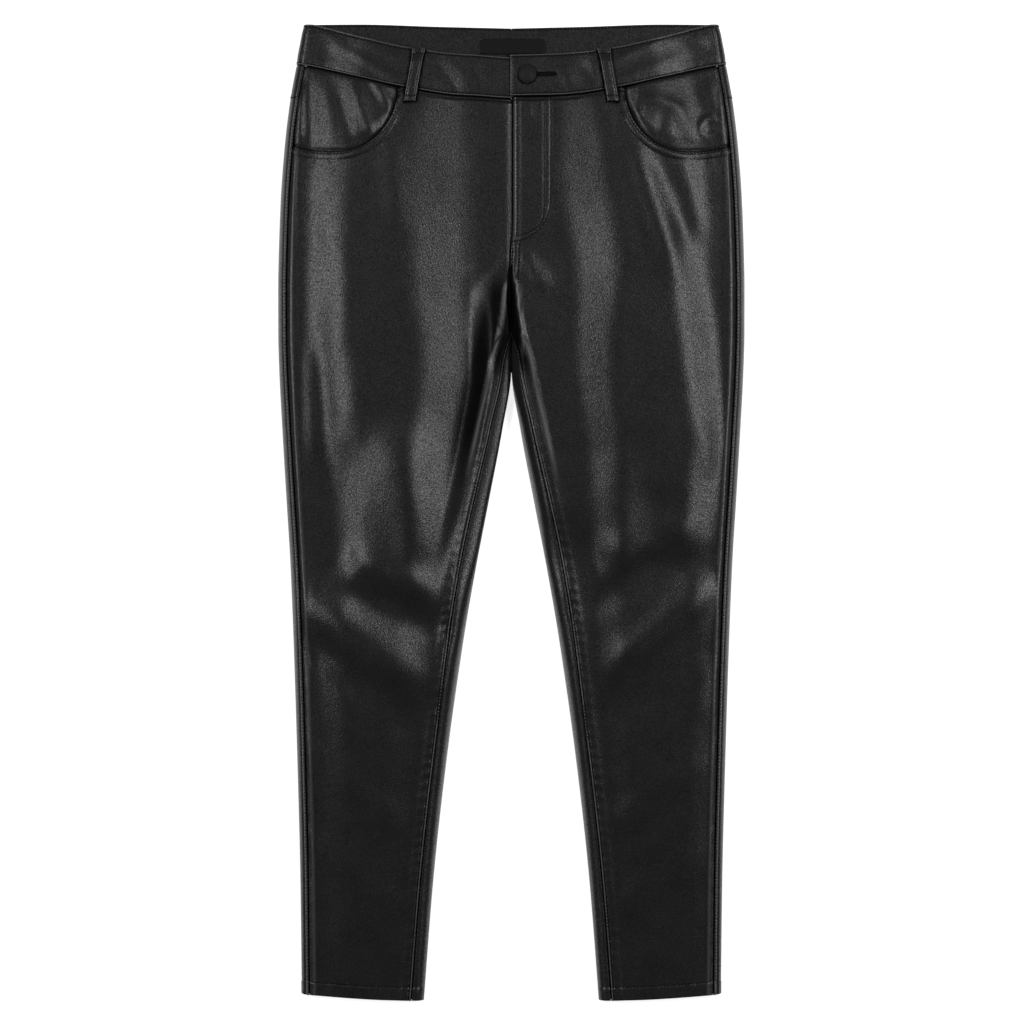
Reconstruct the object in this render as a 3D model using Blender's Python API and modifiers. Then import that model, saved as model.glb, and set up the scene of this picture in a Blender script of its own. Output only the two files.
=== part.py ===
"""Leather trousers laid flat on their back, front side up.

Frame: +Y runs from the hems to the waist, +X is the wearer's left, +Z is up, and the garment rests
on z = 0. Tables are in millimetres. "down" is the distance below the top edge of the waistband, "half"
is the distance from the centre line, and heights are above the surface that the garment lies on.
"""

import math
from collections import namedtuple

import bmesh
import bpy
from mathutils import Vector

MM = 0.001
WAIST_Y = 488.5  # Y of the top edge of the waistband
GAP = 0.3  # clearance between sewn pieces
UNDER_GAP = 0.8  # clearance between a panel and the piece that passes beneath it
PANEL_WALL = 1.4
HEM_WALL = 2.5  # the turned hem is two layers
HEM_DEEP = 13.5
BAND_WALL = 2.4
BAND_RAISE = 0.3  # the band stands this much proud of the panels
LOOP_WALL = 2.0
QUARTER = math.pi / 2

# The outer skin, one row for each section across both legs. flank is the height of a steep rise beside
# the inner edge; rise_in and rise_out are the shares of the way from the inner edge and from the outline
# to the middle at which the slopes up to the crown are at their steepest.
Section = namedtuple(
    "Section",
    "down outer inner crown shoulder_out shoulder_in inner_base roll_out roll_in flank rise_in rise_out",
)
SECTIONS = (
    Section(0, 207.2, 0.0, 15.0, 11.0, 14.0, 14.0, 6.0, 0.0, 0.0, 0.58, 0.45),
    Section(42, 215.0, 0.0, 20.0, 15.5, 17.5, 17.5, 8.0, 0.0, 0.0, 0.58, 0.45),
    Section(78, 221.3, 0.0, 26.0, 21.5, 20.5, 20.5, 11.0, 0.0, 0.0, 0.60, 0.45),
    Section(116, 226.0, 0.0, 31.0, 25.5, 22.5, 22.5, 13.0, 0.0, 0.0, 0.62, 0.43),
    Section(176, 230.5, 0.0, 36.0, 28.5, 24.5, 24.5, 15.0, 0.0, 0.0, 0.62, 0.42),
    Section(236, 232.6, 0.0, 38.5, 29.5, 24.5, 24.5, 16.0, 0.0, 1.0, 0.62, 0.42),
    Section(262, 233.1, 0.0, 39.0, 29.5, 22.0, 19.0, 16.0, 6.0, 5.0, 0.62, 0.42),
    Section(310, 233.0, 0.0, 40.0, 29.5, 15.5, 12.5, 16.0, 13.0, 12.0, 0.585, 0.43),
    Section(347, 232.0, 0.15, 40.0, 29.5, 13.5, 9.8, 16.0, 15.0, 14.0, 0.585, 0.47),
    Section(405, 229.0, 8.8, 39.0, 29.0, 13.5, 9.5, 16.0, 16.0, 14.0, 0.61, 0.52),
    Section(476, 224.8, 22.2, 36.0, 28.5, 15.5, 9.5, 15.0, 17.0, 12.0, 0.58, 0.60),
    Section(536, 221.1, 33.8, 32.5, 28.5, 21.0, 13.5, 14.0, 16.0, 3.5, 0.54, 0.60),
    Section(576, 219.31, 41.02, 31.5, 28.5, 27.0, 13.5, 13.5, 15.5, 1.0, 0.54, 0.45),
    Section(616, 217.8, 47.7, 30.5, 27.0, 27.5, 11.0, 13.0, 15.0, 0.0, 0.58, 0.42),
    Section(736, 214.1, 64.7, 25.5, 23.5, 22.5, 6.9, 12.0, 14.0, 0.0, 0.58, 0.50),
    Section(856, 211.2, 78.0, 19.5, 18.1, 17.5, 5.5, 10.0, 12.0, 0.0, 0.58, 0.50),
    Section(980, 209.8, 87.8, 14.5, 13.7, 13.4, 4.6, 8.0, 9.0, 0.0, 0.58, 0.50),
)
CROTCH_POINT = 310.0  # down to where the four panels meet, in the cleft
APEX = 347.0  # down to where the legs part
OUTLINE_RISE = 0.42  # height of the widest point as a share of the rolled edge's height
UNDER_ROLL = 1.3  # radius of the rolled underside as a share of that height

# The waistband's edges on the front and on the back.
BandEdge = namedtuple("BandEdge", "half top seam")
FRONT_BAND = (
    BandEdge(0, 32.5, 74.3),
    BandEdge(51, 31.0, 73.4),
    BandEdge(105, 24.1, 65.7),
    BandEdge(145, 15.1, 56.7),
    BandEdge(185, 4.3, 47.1),
    BandEdge(200, 0.9, 44.0),
    BandEdge(214, 0.5, 41.6),
)
BACK_BAND = (
    BandEdge(0, 4.0, 45.5),
    BandEdge(75, 2.2, 43.6),
    BandEdge(150, 0.0, 42.0),
    BandEdge(214, 0.5, 41.6),
)
BAND_LIFT = 3.1  # the back waist rides this high on its belt loops
LIFT_ENDS = (62.0, 100.0)  # down, from the full lift to none
# These slopes run this share of the way to each side of their steepest place: down, share on the inner side.
RISE_IN_HALF = ((80, 0.30), (150, 0.42), (236, 0.38), (310, 0.31), (560, 0.27))
RISE_OUT_HALF = 0.21
RISE_ROUNDING = 0.3
LEFT_RAISE = 1.3  # the wearer's left leg has no flank: its inner shoulder is higher by this share of one
LEFT_HALF = 0.76
LEFT_RISE_IN = ((150, 0.0), (260, 0.12), (405, 0.12), (476, 0.14), (536, 0.12), (620, 0.0))  # down, shift on the wearer's left leg
LEFT_RISE_OUT = ((150, 0.06), (240, 0.06), (306, -0.02), (376, -0.17), (436, -0.27), (560, -0.2))
FLANK_FROM = 17.0  # the flank starts and ends this far in from the inner edge
FLANK_TO = 43.0
FOLD_FADE = 24.0  # the creases start this far in from the edges of the front
SEAT_SPREAD = 70.0  # over this length above the legs' parting the seat's columns even out
YOKE_SEAM = ((0, 106.0), (214, 75.5))  # half, down
RIGHT_BAND_DROP = 2.0  # the wearer's right half sits lower at the centre
DROP_FADES = 45.0

# Seams of the legs: how far in from the outline they lie, on the front.
SIDE_SEAM_IN = ((0, 9.0), (600, 9.0), (980, 8.0))  # down, distance in
INSEAM_IN = ((310, 0.0), (347, 8.0), (405, 11.8), (536, 15.7), (736, 12.3), (980, 12.3))
CENTRE_SEAM = ((0, 1.0), (205, 1.0), (226, -1.0), (262, -1.7), (310, 0.0))  # down, X

HEM_OUTER = 970.4  # down of the hem's edge at the side seam and at the inseam
HEM_INNER = 977.0

# Scooped front pocket: a quarter ellipse from the band, then a slight rise to the side seam.
POCKET_START = 113.7
POCKET_LOW = 174.0
POCKET_DEEP = 64.3
POCKET_TOP = 65.7
POCKET_RISE = 5.7
POCKET_END = 219.0
FACING_UNDER = 9.0  # the facing runs on beneath the front by this much
FACING_FADE = 16.0

# Fly
FLY_BOTTOM = 219.0
UNDERLAP_TOP = 77.2
UNDERLAP_RIGHT = -18.0
UNDERLAP_LEFT = 36.0
BAND_TAB = 42.0  # the right band runs on beneath the left one
TAB_COLUMNS = (-42.0, -28.0, -13.0, -1.0)
OVER_END = -1.5  # X of the left band's end
OVERLAP_HALF = 56.4  # the left band lies on the tab as far as this column
OVERLAP_FADE = 26.0  # and settles to the skin over this length
TAB_RAISED = 1.9  # its free stretch is cut this much shorter at the lower edge
BUTTON_X = 16.0
BUTTON_DOWN = 52.9
BUTTON_RADIUS = 9.0
EYELET_RADIUS = 2.6
SLIT_END = 45.0
SLIT_WIDE = 0.8
CUT_DEEP = 9.0

# Main creases of the front: X and down of both ends, half width, height (a trough is negative).
Fold = namedtuple("Fold", "x_from down_from x_to down_to half_width height")
FOLDS = (
    Fold(-114, 416, -84, 545, 30, 5.5),
    Fold(-153, 416, -168, 545, 20, -3.0),
    Fold(-152, 532, -84, 566, 15, 3.8),
    Fold(-165, 566, -62, 612, 17, -4.4),
    Fold(-206, 574, -92, 660, 21, 5.8),
    Fold(-208, 618, -101, 702, 18, -2.2),
    Fold(-206, 724, -106, 802, 16, 1.4),
    Fold(-208, 812, -110, 884, 15, 1.1),
    Fold(106, 440, 100, 530, 24, 2.0),
    Fold(148, 470, 146, 550, 24, -2.2),
    Fold(176, 500, 98, 530, 18, 2.8),
    Fold(186, 534, 66, 584, 17, -3.8),
    Fold(199, 560, 104, 640, 17, 4.8),
    Fold(206, 608, 104, 694, 18, -2.0),
    Fold(195, 735, 101, 800, 16, 1.5),
    Fold(195, 820, 99, 885, 15, 1.1),
    Fold(-5, 228, -33, 262, 9, 1.6),
    Fold(6, 228, 35, 264, 9, 1.5),
    Fold(122, 122, 162, 250, 12, 2.2),
    Fold(148, 135, 174, 220, 13, -3.0),
)

# Belt loops: X of the top and bottom of the middle line, and down of both ends.
Loop = namedtuple("Loop", "name on_front x_top down_top x_bottom down_bottom")
LOOPS = (
    Loop("belt_loop_front_right", True, -92.2, 26.2, -101.2, 80.5),
    Loop("belt_loop_front_left", True, 92.2, 26.2, 101.2, 80.5),
    Loop("belt_loop_back_right", False, -118.0, 1.8, -121.0, 54.0),
    Loop("belt_loop_back_centre", False, 0.0, 4.6, 0.0, 57.0),
    Loop("belt_loop_back_left", False, 118.0, 1.8, 121.0, 54.0),
)
LOOP_ROWS = 8
LOOP_WIDE = 12.0
LOOP_FLARE = 2.0  # wider by this much at the top
FLARE_SHARE = 0.25  # share of the loop's length over which the flare ends
LOOP_ARCH = 2.4  # stands off the band by this much in the middle
ARCH_SHARE = 0.3  # share of the length over which each end rises to the arch

# Labels inside the back band, bare: X and down of their edges, and how far the top corners are cut.
Label = namedtuple("Label", "name x_from x_to down_from down_to corner")
LABELS = (
    Label("waist_label", -31.4, 34.4, 14.5, 30.0, 2.0),
    Label("size_tab", -5.5, 6.5, 30.3, 40.0, 0.0),
)
LABEL_THICK = 0.7
CORNER_WIDE = 5.0

# Half of the covered button's section, from the top of the dome to the foot of the shank
Turned = namedtuple("Turned", "radius height")
BUTTON_PROFILE = (
    Turned(0.0, 4.3),
    Turned(3.0, 4.2),
    Turned(5.6, 3.8),
    Turned(7.2, 3.1),
    Turned(7.7, 2.8),
    Turned(8.5, 2.7),
    Turned(BUTTON_RADIUS, 1.9),
    Turned(8.6, 0.9),
    Turned(7.4, 0.3),
    Turned(1.7, 0.3),
    Turned(1.7, -2.4),
    Turned(0.0, -2.4),
)
BUTTON_STEPS = 24

# Columns of the front waist, half distances shared by the band and the panel sewn to it
WAIST_HALVES = (18.8, 37.6, 56.4, 75.2, 94.0)
SIDE_HALVES = (113.3, 127.0, 142.0, 153.5, 165.0, 174.5, 184.0)
SIDE_ARCS = (24.0, 13.6, 6.8)  # lengths in from the outline, round the rolled side
SIDE_SEAM_TOP = 44.0  # down of the band's seam where those lengths start

# Rows from the hem upward, and columns
HEM_STEP = 1.2  # the wall thins from the hem's to the panel's over this much
LEG_START = 948.0
LEG_ROWS = 30
CLEFT_ROWS = 2
CLEFT_TOP = 8.0  # the last of these rows is this far below the crotch point
HIP_ROWS = 6
UPPER_START = 180.0  # down; above it the rows bend towards the waist's seams
UPPER_ROWS = 6
FRONT_COLUMNS = 16
POCKET_COLUMNS = 6  # of the front's columns, those that end on the scoop
FLAT_COLUMNS = 5
ROLL_COLUMNS = 3
STRIP_COLUMNS = 3
SEAT_ROWS = 4
SEAM_ROWS = 3  # rows from seam to seam in the yoke, the band and the top of the seat
FACING_ROWS = 6

# Steps, in the skin's own coordinates, over which its slope is taken
RING_STEP = 0.0008
DOWN_STEP = 0.4

LEATHER = (0.018, 0.018, 0.019, 1.0)
SATIN = (0.006, 0.006, 0.006, 1.0)


# ---------------------------------------------------------------- curves through the tables


def through(points, at):
    """Monotone cubic through (place, value) points, level beyond both ends."""
    if at <= points[0][0]:
        return points[0][1]
    if at >= points[-1][0]:
        return points[-1][1]
    slopes = [
        (b[1] - a[1]) / (b[0] - a[0]) for a, b in zip(points, points[1:])
    ]
    tangents = [slopes[0]]
    for before, after in zip(slopes, slopes[1:]):
        tangents.append(
            0.0 if before * after <= 0 else 2 * before * after / (before + after)
        )
    tangents.append(slopes[-1])
    index = max(i for i, point in enumerate(points[:-1]) if point[0] <= at)
    (x0, y0), (x1, y1) = points[index], points[index + 1]
    span = x1 - x0
    t = (at - x0) / span
    return (
        (1 + 2 * t) * (1 - t) ** 2 * y0
        + t * (1 - t) ** 2 * span * tangents[index]
        + t * t * (3 - 2 * t) * y1
        + t * t * (t - 1) * span * tangents[index + 1]
    )


def smooth(t):
    """Eased step from 0 to 1."""
    t = min(max(t, 0.0), 1.0)
    return t * t * (3 - 2 * t)


def mix(a, b, t):
    return a + (b - a) * t


SECTION_CURVES = {
    field: [(row.down, getattr(row, field)) for row in SECTIONS]
    for field in Section._fields[1:]
}


def section(down):
    """The section at a height of the garment, read from the smooth curves through the table."""
    values = [through(SECTION_CURVES[field], down) for field in Section._fields[1:]]
    return Section(down, *values)


def lift(down):
    """Height of the underside: the back waist rides on its belt loops."""
    return BAND_LIFT * (1 - smooth((down - LIFT_ENDS[0]) / (LIFT_ENDS[1] - LIFT_ENDS[0])))


# ---------------------------------------------------------------- the outer skin


def quarter(distance, radius):
    """Height of a quarter circle of unit height, at a distance in from its start."""
    if radius <= 0 or distance >= radius:
        return 1.0
    return math.sqrt(max(1 - (1 - distance / radius) ** 2, 0.0))


def fold_height(x, down):
    """Sum of the creases at a point of the front."""
    total = 0.0
    for fold in FOLDS:
        along_x, along_d = fold.x_to - fold.x_from, fold.down_to - fold.down_from
        length = math.hypot(along_x, along_d)
        off_x, off_d = x - fold.x_from, down - fold.down_from
        t = (off_x * along_x + off_d * along_d) / length**2
        across = (off_x * along_d - off_d * along_x) / length / fold.half_width
        if abs(across) < 3 and -0.3 < t < 1.3:
            taper = smooth((t + 0.25) / 0.5) * smooth((1.25 - t) / 0.5)
            total += fold.height * taper * math.exp(-across * across)
    return total


def even_rise(t, rounding):
    """A rise from 0 to 1, at an even slope but for its rounded ends."""
    low, first, last, high = (max(t - at, 0.0) ** 2 for at in (0.0, rounding, 1 - rounding, 1.0))
    return (low - first - last + high) / (2 * rounding * (1 - rounding))


def front_height(side, half, down):
    """Height of the front skin at a distance from the centre line, on one side."""
    row = section(down)
    from_inner = abs(half) - row.inner if down < APEX else half - row.inner
    from_outer = row.outer - half
    reach = (row.outer - row.inner) / 2
    if from_inner < from_outer:
        edge, base, radius, flank = row.shoulder_in, row.inner_base, row.roll_in, row.flank
        inward, steepest, half_way, lean = from_inner, row.rise_in, through(RISE_IN_HALF, down), LEFT_RISE_IN
        if side > 0:
            edge, flank, half_way = edge + flank * LEFT_RAISE, 0.0, half_way * LEFT_HALF
    else:
        edge, base, radius, flank = row.shoulder_out, widest(row), row.roll_out, 0.0
        inward, steepest, half_way, lean = from_outer, row.rise_out, RISE_OUT_HALF, LEFT_RISE_OUT
    inward = max(inward, 0.0)
    if side > 0:
        steepest += through(lean, down)
    height = base + (edge - base) * quarter(inward, radius)
    rise = even_rise(0.5 + (inward / reach - steepest) / half_way / 2, RISE_ROUNDING)
    height += (row.crown - edge - flank) * rise
    height += flank * smooth((inward - FLANK_FROM) / (FLANK_TO - FLANK_FROM))
    return height + smooth(inward / FOLD_FADE) * fold_height(side * half, down)


def widest(row):
    """Height of the outline where the side rolls under."""
    bottom = lift(row.down)
    return bottom + OUTLINE_RISE * (row.shoulder_out - bottom)


def under_radius(base, down):
    return UNDER_ROLL * (base - lift(down))


def back_height(half, down):
    """Height of the underside."""
    row = section(down)
    bottom = lift(down)
    from_inner = abs(half) - row.inner + max(APEX - down, 0.0)
    from_outer = row.outer - half
    inner_base = through(SECTION_CURVES["inner_base"], max(down, APEX))
    outer_base = widest(row)
    inner = quarter(max(from_inner, 0.0), under_radius(inner_base, down))
    outer = quarter(max(from_outer, 0.0), under_radius(outer_base, down))
    return bottom + (inner_base - bottom) * (1 - inner) + (outer_base - bottom) * (1 - outer)


def arc_in(distance, radius):
    """Length along a rolled edge of radius, to a distance in from the outline."""
    if distance >= radius:
        return radius * QUARTER + distance - radius
    return radius * math.acos(1 - distance / radius)


def distance_in(arc, radius):
    """The inverse of arc_in."""
    if arc >= radius * QUARTER:
        return radius + arc - radius * QUARTER
    return radius * (1 - math.cos(arc / radius))


def across(row, arc, length, radius_in, radius_out):
    """Distance from the centre line at an arc length from the inner edge."""
    if arc < length / 2:
        return row.inner + distance_in(arc, radius_in) if arc > 0 else row.inner + arc
    return row.outer - distance_in(max(length - arc, 0.0), radius_out)


def spread(row, radius_in, radius_out):
    """Length of a face of the section, its rolled edges measured along the roll."""
    flat = row.outer - row.inner - radius_in - radius_out
    return flat + QUARTER * (radius_in + radius_out)


def under_radii(row):
    """Radii of the underside's rolls: the inner one starts where the legs part."""
    outer = under_radius(widest(row), row.down)
    inner = under_radius(row.inner_base, row.down) if row.down >= APEX else 0.0
    return inner, outer


def skin(side, down, ring):
    """Point of the skin on one side, in millimetres. ring runs 0 to 1 over the front, from the inner
    edge to the outline, then 1 to 2 back along the underside, and past 2 it starts on the front again.
    """
    row = section(down)
    if ring > 2:
        ring -= 2
    if ring <= 1:
        length = spread(row, row.roll_in, row.roll_out)
        half = across(row, ring * length, length, row.roll_in, row.roll_out)
        height = front_height(side, half, down)
    else:
        inner, outer = under_radii(row)
        length = spread(row, inner, outer)
        half = across(row, (2 - ring) * length, length, inner, outer)
        height = back_height(half, down)
    return Vector((side * half, WAIST_Y - down, height))


def ring_at(row, half, radius_in, radius_out):
    """Share of a face's length, from the inner edge, at a distance from the centre line."""
    length = spread(row, radius_in, radius_out)
    from_inner = half - row.inner
    if from_inner > (row.outer - row.inner) / 2:
        return 1 - arc_in(max(row.outer - half, 0.0), radius_out) / length
    return (arc_in(from_inner, radius_in) if from_inner > 0 else from_inner) / length


def front_ring(down, half):
    row = section(down)
    return ring_at(row, half, row.roll_in, row.roll_out)


def outline_ring(down, arc):
    """The ring place of a point of the front at a length in from the outline, round the roll."""
    row = section(down)
    return 1 - arc / spread(row, row.roll_in, row.roll_out)


def back_ring(down, half):
    row = section(down)
    return 2 - ring_at(row, half, *under_radii(row))


def place(side, down, ring, out=0.0):
    """World point of the skin, moved out along its normal by a distance."""
    low, high = ring - RING_STEP, ring + RING_STEP
    above, below = down - DOWN_STEP, down + DOWN_STEP
    if down < APEX and ring <= 2:
        high = min(high, 2.0)
    if down < APEX and ring > 2:
        low = max(low, 2.00001)
    if abs(down - APEX) < DOWN_STEP:
        above = APEX
    around = skin(side, down, high) - skin(side, down, low)
    upward = skin(side, above, ring) - skin(side, below, ring)
    outward = around.cross(upward) * side
    return (skin(side, down, ring) + outward.normalized() * out) * MM


# ---------------------------------------------------------------- meshes and objects


def material(name, colour, roughness):
    """A Principled material of its own for one object."""
    made = bpy.data.materials.new(name)
    made.use_nodes = True
    shader = made.node_tree.nodes["Principled BSDF"]
    shader.inputs["Base Color"].default_value = colour
    shader.inputs["Roughness"].default_value = roughness
    shader.inputs["Metallic"].default_value = 0.0
    return made


def add_object(name, mesh, collection, colour=LEATHER, roughness=0.42):
    made = bpy.data.objects.new(name, mesh)
    collection.objects.link(made)
    mesh.materials.append(material(name, colour, roughness))
    return made


Node = namedtuple("Node", "down ring out wall")


def walled(name, grids, flip=False):
    """A closed wall over joined grids of (key, outer point, inner point): each row of a grid goes round
    the garment, and the rows go up it."""
    mesh = bpy.data.meshes.new(name)
    sheet = bmesh.new()
    outer, inner = {}, {}
    for grid in grids:
        for row in grid:
            for key, out_point, in_point in row:
                if key not in outer:
                    outer[key] = sheet.verts.new(out_point)
                    inner[key] = sheet.verts.new(in_point)
    quads = []
    for grid in grids:
        for lower, upper in zip(grid, grid[1:]):
            for j in range(len(lower) - 1):
                quad = [lower[j][0], lower[j + 1][0], upper[j + 1][0], upper[j][0]]
                quads.append(quad[::-1] if flip else quad)
    edges = {}
    for quad in quads:
        sheet.faces.new([outer[key] for key in quad])
        sheet.faces.new([inner[key] for key in reversed(quad)])
        for a, b in zip(quad, quad[1:] + quad[:1]):
            edges[(a, b)] = edges.get((a, b), 0) + 1
    for a, b in edges:
        if (b, a) not in edges:
            sheet.faces.new([outer[b], outer[a], inner[a], inner[b]])
    sheet.to_mesh(mesh)
    sheet.free()
    mesh.shade_smooth()
    mesh.set_sharp_from_angle(angle=math.radians(40))
    return mesh


def wall_of(name, side, grids, collection):
    """A piece of the garment from grids of Nodes on one side of the skin."""
    placed = [
        [
            [
                (
                    (round(node.down, 3), round(node.ring, 5)),
                    place(side, node.down, node.ring, node.out),
                    place(side, node.down, node.ring, node.out - node.wall),
                )
                for node in row
            ]
            for row in grid
        ]
        for grid in grids
    ]
    return add_object(name, walled(name, placed, flip=side < 0), collection)


def steps(start, end, count):
    """Even values from start to end, both included."""
    return [mix(start, end, i / count) for i in range(count + 1)]


# ---------------------------------------------------------------- seams


def band_edges(ring, half):
    """(top, seam) of the waistband, down."""
    table = FRONT_BAND if ring <= 1 else BACK_BAND
    top = through([(edge.half, edge.top) for edge in table], abs(half))
    seam = through([(edge.half, edge.seam) for edge in table], abs(half))
    return top, seam


def band_drop(side, half):
    """The wearer's right half of the front waist sits lower at the centre."""
    return RIGHT_BAND_DROP * (1 - smooth(abs(half) / DROP_FADES)) if side < 0 else 0.0


def front_inner(side, down):
    """Where the front panel starts: the centre seam, then the inseam."""
    if down <= CROTCH_POINT:
        return side * through(CENTRE_SEAM, down) + GAP / 2
    return section(down).inner + through(INSEAM_IN, down) + GAP / 2


def side_seam(down):
    return section(down).outer - through(SIDE_SEAM_IN, down)


def hem_down(down, half):
    """The hem's edge dips from the side seam to the inseam."""
    row = section(down)
    t = (row.outer - half) / (row.outer - row.inner)
    return mix(HEM_OUTER, HEM_INNER, math.sin(QUARTER * min(max(t, 0.0), 1.0)))


def leg_downs():
    """Rows of the leg, from above the turned hem up to where the legs part."""
    return steps(LEG_START, APEX, LEG_ROWS)


def cleft_downs():
    return steps(APEX, CROTCH_POINT + CLEFT_TOP, CLEFT_ROWS)[1:]


def hip_downs():
    return steps(CROTCH_POINT, UPPER_START, HIP_ROWS)


def hem_rows(rings):
    """Rows of the turned hem for ring(down) functions, one for each column."""
    rows = []
    hem_top = HEM_DEEP + HEM_STEP
    for above, wall in ((0.0, HEM_WALL), (HEM_DEEP, HEM_WALL), (hem_top, PANEL_WALL)):
        row = []
        for ring in rings:
            half = abs(skin(1, HEM_OUTER, ring(HEM_OUTER)).x)
            down = hem_down(HEM_OUTER, half) - above
            row.append(Node(down, ring(down), 0.0, wall))
        rows.append(row)
    return rows


def panel_rows(rings, downs):
    return [[Node(down, ring(down), 0.0, PANEL_WALL) for ring in rings] for down in downs]


# ---------------------------------------------------------------- front panels


def front_column(side, share):
    """ring(down) at a share of the front panel's width."""

    def ring(down):
        inner = front_ring(down, front_inner(side, down))
        outer = front_ring(down, side_seam(down) - GAP / 2)
        return mix(inner, outer, share)

    return ring


def pocket_edge(angle, grow=0.0):
    """(half, down) on the pocket's curve: the ellipse for 0 to 90 degrees, moved out by grow."""
    half = POCKET_LOW - (POCKET_LOW - POCKET_START + grow) * math.cos(angle)
    down = POCKET_TOP + (POCKET_DEEP + grow) * math.sin(angle)
    return half, down


def pocket_rise(half):
    """How far the pocket's edge has risen again, past its lowest point."""
    return POCKET_RISE * (max(half - POCKET_LOW, 0.0) / (POCKET_END - POCKET_LOW)) ** 2


def front_top_edge(side):
    """(half, down) of the front panel's top edge at each column."""
    edge = []
    start = front_inner(side, FRONT_BAND[0].seam)
    for half in (start, *WAIST_HALVES, SIDE_HALVES[0]):
        seam = band_edges(0, half)[1] + band_drop(side, half)
        edge.append((half, seam + GAP / 2))
    for i in range(1, POCKET_COLUMNS + 1):
        edge.append(pocket_edge(QUARTER * i / POCKET_COLUMNS))
    rest = FRONT_COLUMNS + 1 - len(edge)
    end = side_seam(POCKET_TOP + POCKET_DEEP - POCKET_RISE) - GAP / 2
    for half in steps(POCKET_LOW, end, rest)[1:]:
        edge.append((half, POCKET_TOP + POCKET_DEEP - pocket_rise(half)))
    return edge


def build_front(side, name, collection):
    rings = [front_column(side, i / FRONT_COLUMNS) for i in range(FRONT_COLUMNS + 1)]
    rows = hem_rows(rings)
    rows += panel_rows(rings, leg_downs() + cleft_downs() + hip_downs())
    edge = front_top_edge(side)
    for step in range(1, UPPER_ROWS + 1):
        share = step / UPPER_ROWS
        row = []
        for ring, (half_top, down_top) in zip(rings, edge):
            half_low = side * skin(side, UPPER_START, ring(UPPER_START)).x
            down = mix(UPPER_START, down_top, share)
            half = mix(half_low, half_top, share)
            row.append(Node(down, front_ring(down, half), 0.0, PANEL_WALL))
        rows.append(row)
    return wall_of(name, side, [rows], collection)


# ---------------------------------------------------------------- back panels and yokes


def back_column(kind, share):
    """ring(down) of one column of the back. kind names the stretch that the share runs along."""

    def ring(down):
        row = section(down)
        inner, outer = under_radii(row)
        length = spread(row, inner, outer)
        outer_floor = 1 + outer * QUARTER / length
        centre = back_ring(down, row.inner + GAP / 2)
        flank = under_radius(through(SECTION_CURVES["inner_base"], APEX), APEX)
        inner_floor = back_ring(down, row.inner + flank)
        if down >= APEX:
            centre, inner_floor = 2.0, 2 - inner * QUARTER / length
        else:
            even = mix(outer_floor, centre, FLAT_COLUMNS / (FLAT_COLUMNS + ROLL_COLUMNS))
            inner_floor = mix(inner_floor, even, smooth((APEX - down) / SEAT_SPREAD))
        if kind == "strip":
            return mix(front_ring(down, side_seam(down) + GAP / 2), 1.0, share)
        if kind == "outer roll":
            return mix(1.0, outer_floor, share)
        if kind == "flat":
            return mix(outer_floor, inner_floor, share)
        if kind == "inner roll":
            return mix(inner_floor, centre, share)
        seam = section(down).inner + through(INSEAM_IN, down) - GAP / 2
        return mix(2.0 + front_ring(down, row.inner + GAP / 2), 2.0 + front_ring(down, seam), share)

    return ring


def back_columns():
    """Columns from the side seam round the underside to the centre seam."""
    stretches = (
        ("strip", 2),
        ("outer roll", ROLL_COLUMNS),
        ("flat", FLAT_COLUMNS),
        ("inner roll", ROLL_COLUMNS),
    )
    rings = [back_column("strip", 0.0)]
    for kind, count in stretches:
        rings += [back_column(kind, i / count) for i in range(1, count + 1)]
    return rings


def yoke_seam(ring, half):
    """down of the seam between the back and its yoke, the same all round."""
    return through(YOKE_SEAM, half)


def band_top(ring, half):
    return band_edges(ring, half)[0]


def band_seam(ring, half):
    return band_edges(ring, half)[1]


def upper_back_rows(rings, low, high):
    """Rows between two seams, each given as a function of the place on a column."""
    rows = []
    for share in steps(0, 1, SEAM_ROWS):
        row = []
        for ring in rings:
            down = mix(low(ring), high(ring), share)
            row.append(Node(down, ring(down), 0.0, PANEL_WALL))
        rows.append(row)
    return rows


def on_seam(seam, offset):
    """A function that finds where a column crosses a seam, given by its ring and half distance."""

    def crossing(ring):
        down = FRONT_BAND[0].seam
        for _ in range(5):
            down = seam(ring(down), abs(skin(1, down, ring(down)).x)) + offset
        return down

    return crossing


def build_back(side, name, collection):
    rings = back_columns()
    strip = [back_column("inner strip", share) for share in steps(0, 1, STRIP_COLUMNS)]
    leg_rings = rings + strip[1:]
    legs = hem_rows(leg_rings) + panel_rows(leg_rings, leg_downs())
    crotch = [legs[-1][len(rings) - 1 :]] + panel_rows(strip, cleft_downs())
    seat_downs = steps(APEX, CROTCH_POINT, SEAT_ROWS)[1:] + hip_downs()[1:]
    seat = [legs[-1][: len(rings)]] + panel_rows(rings, seat_downs)
    top = upper_back_rows(
        rings,
        lambda ring: UPPER_START,
        on_seam(yoke_seam, GAP / 2),
    )
    return wall_of(name, side, [legs, crotch, seat + top[1:]], collection)


def build_yoke(side, name, collection):
    rows = upper_back_rows(
        back_columns(),
        on_seam(yoke_seam, -GAP / 2),
        on_seam(band_seam, GAP / 2),
    )
    return wall_of(name, side, [rows], collection)


# ---------------------------------------------------------------- waistband


def overlap_raise(side, half):
    """The wearer's left half lies on the right half's tab."""
    if side < 0:
        return 0.0
    return (BAND_WALL + GAP) * (1 - smooth((half - OVERLAP_HALF) / OVERLAP_FADE))


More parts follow.
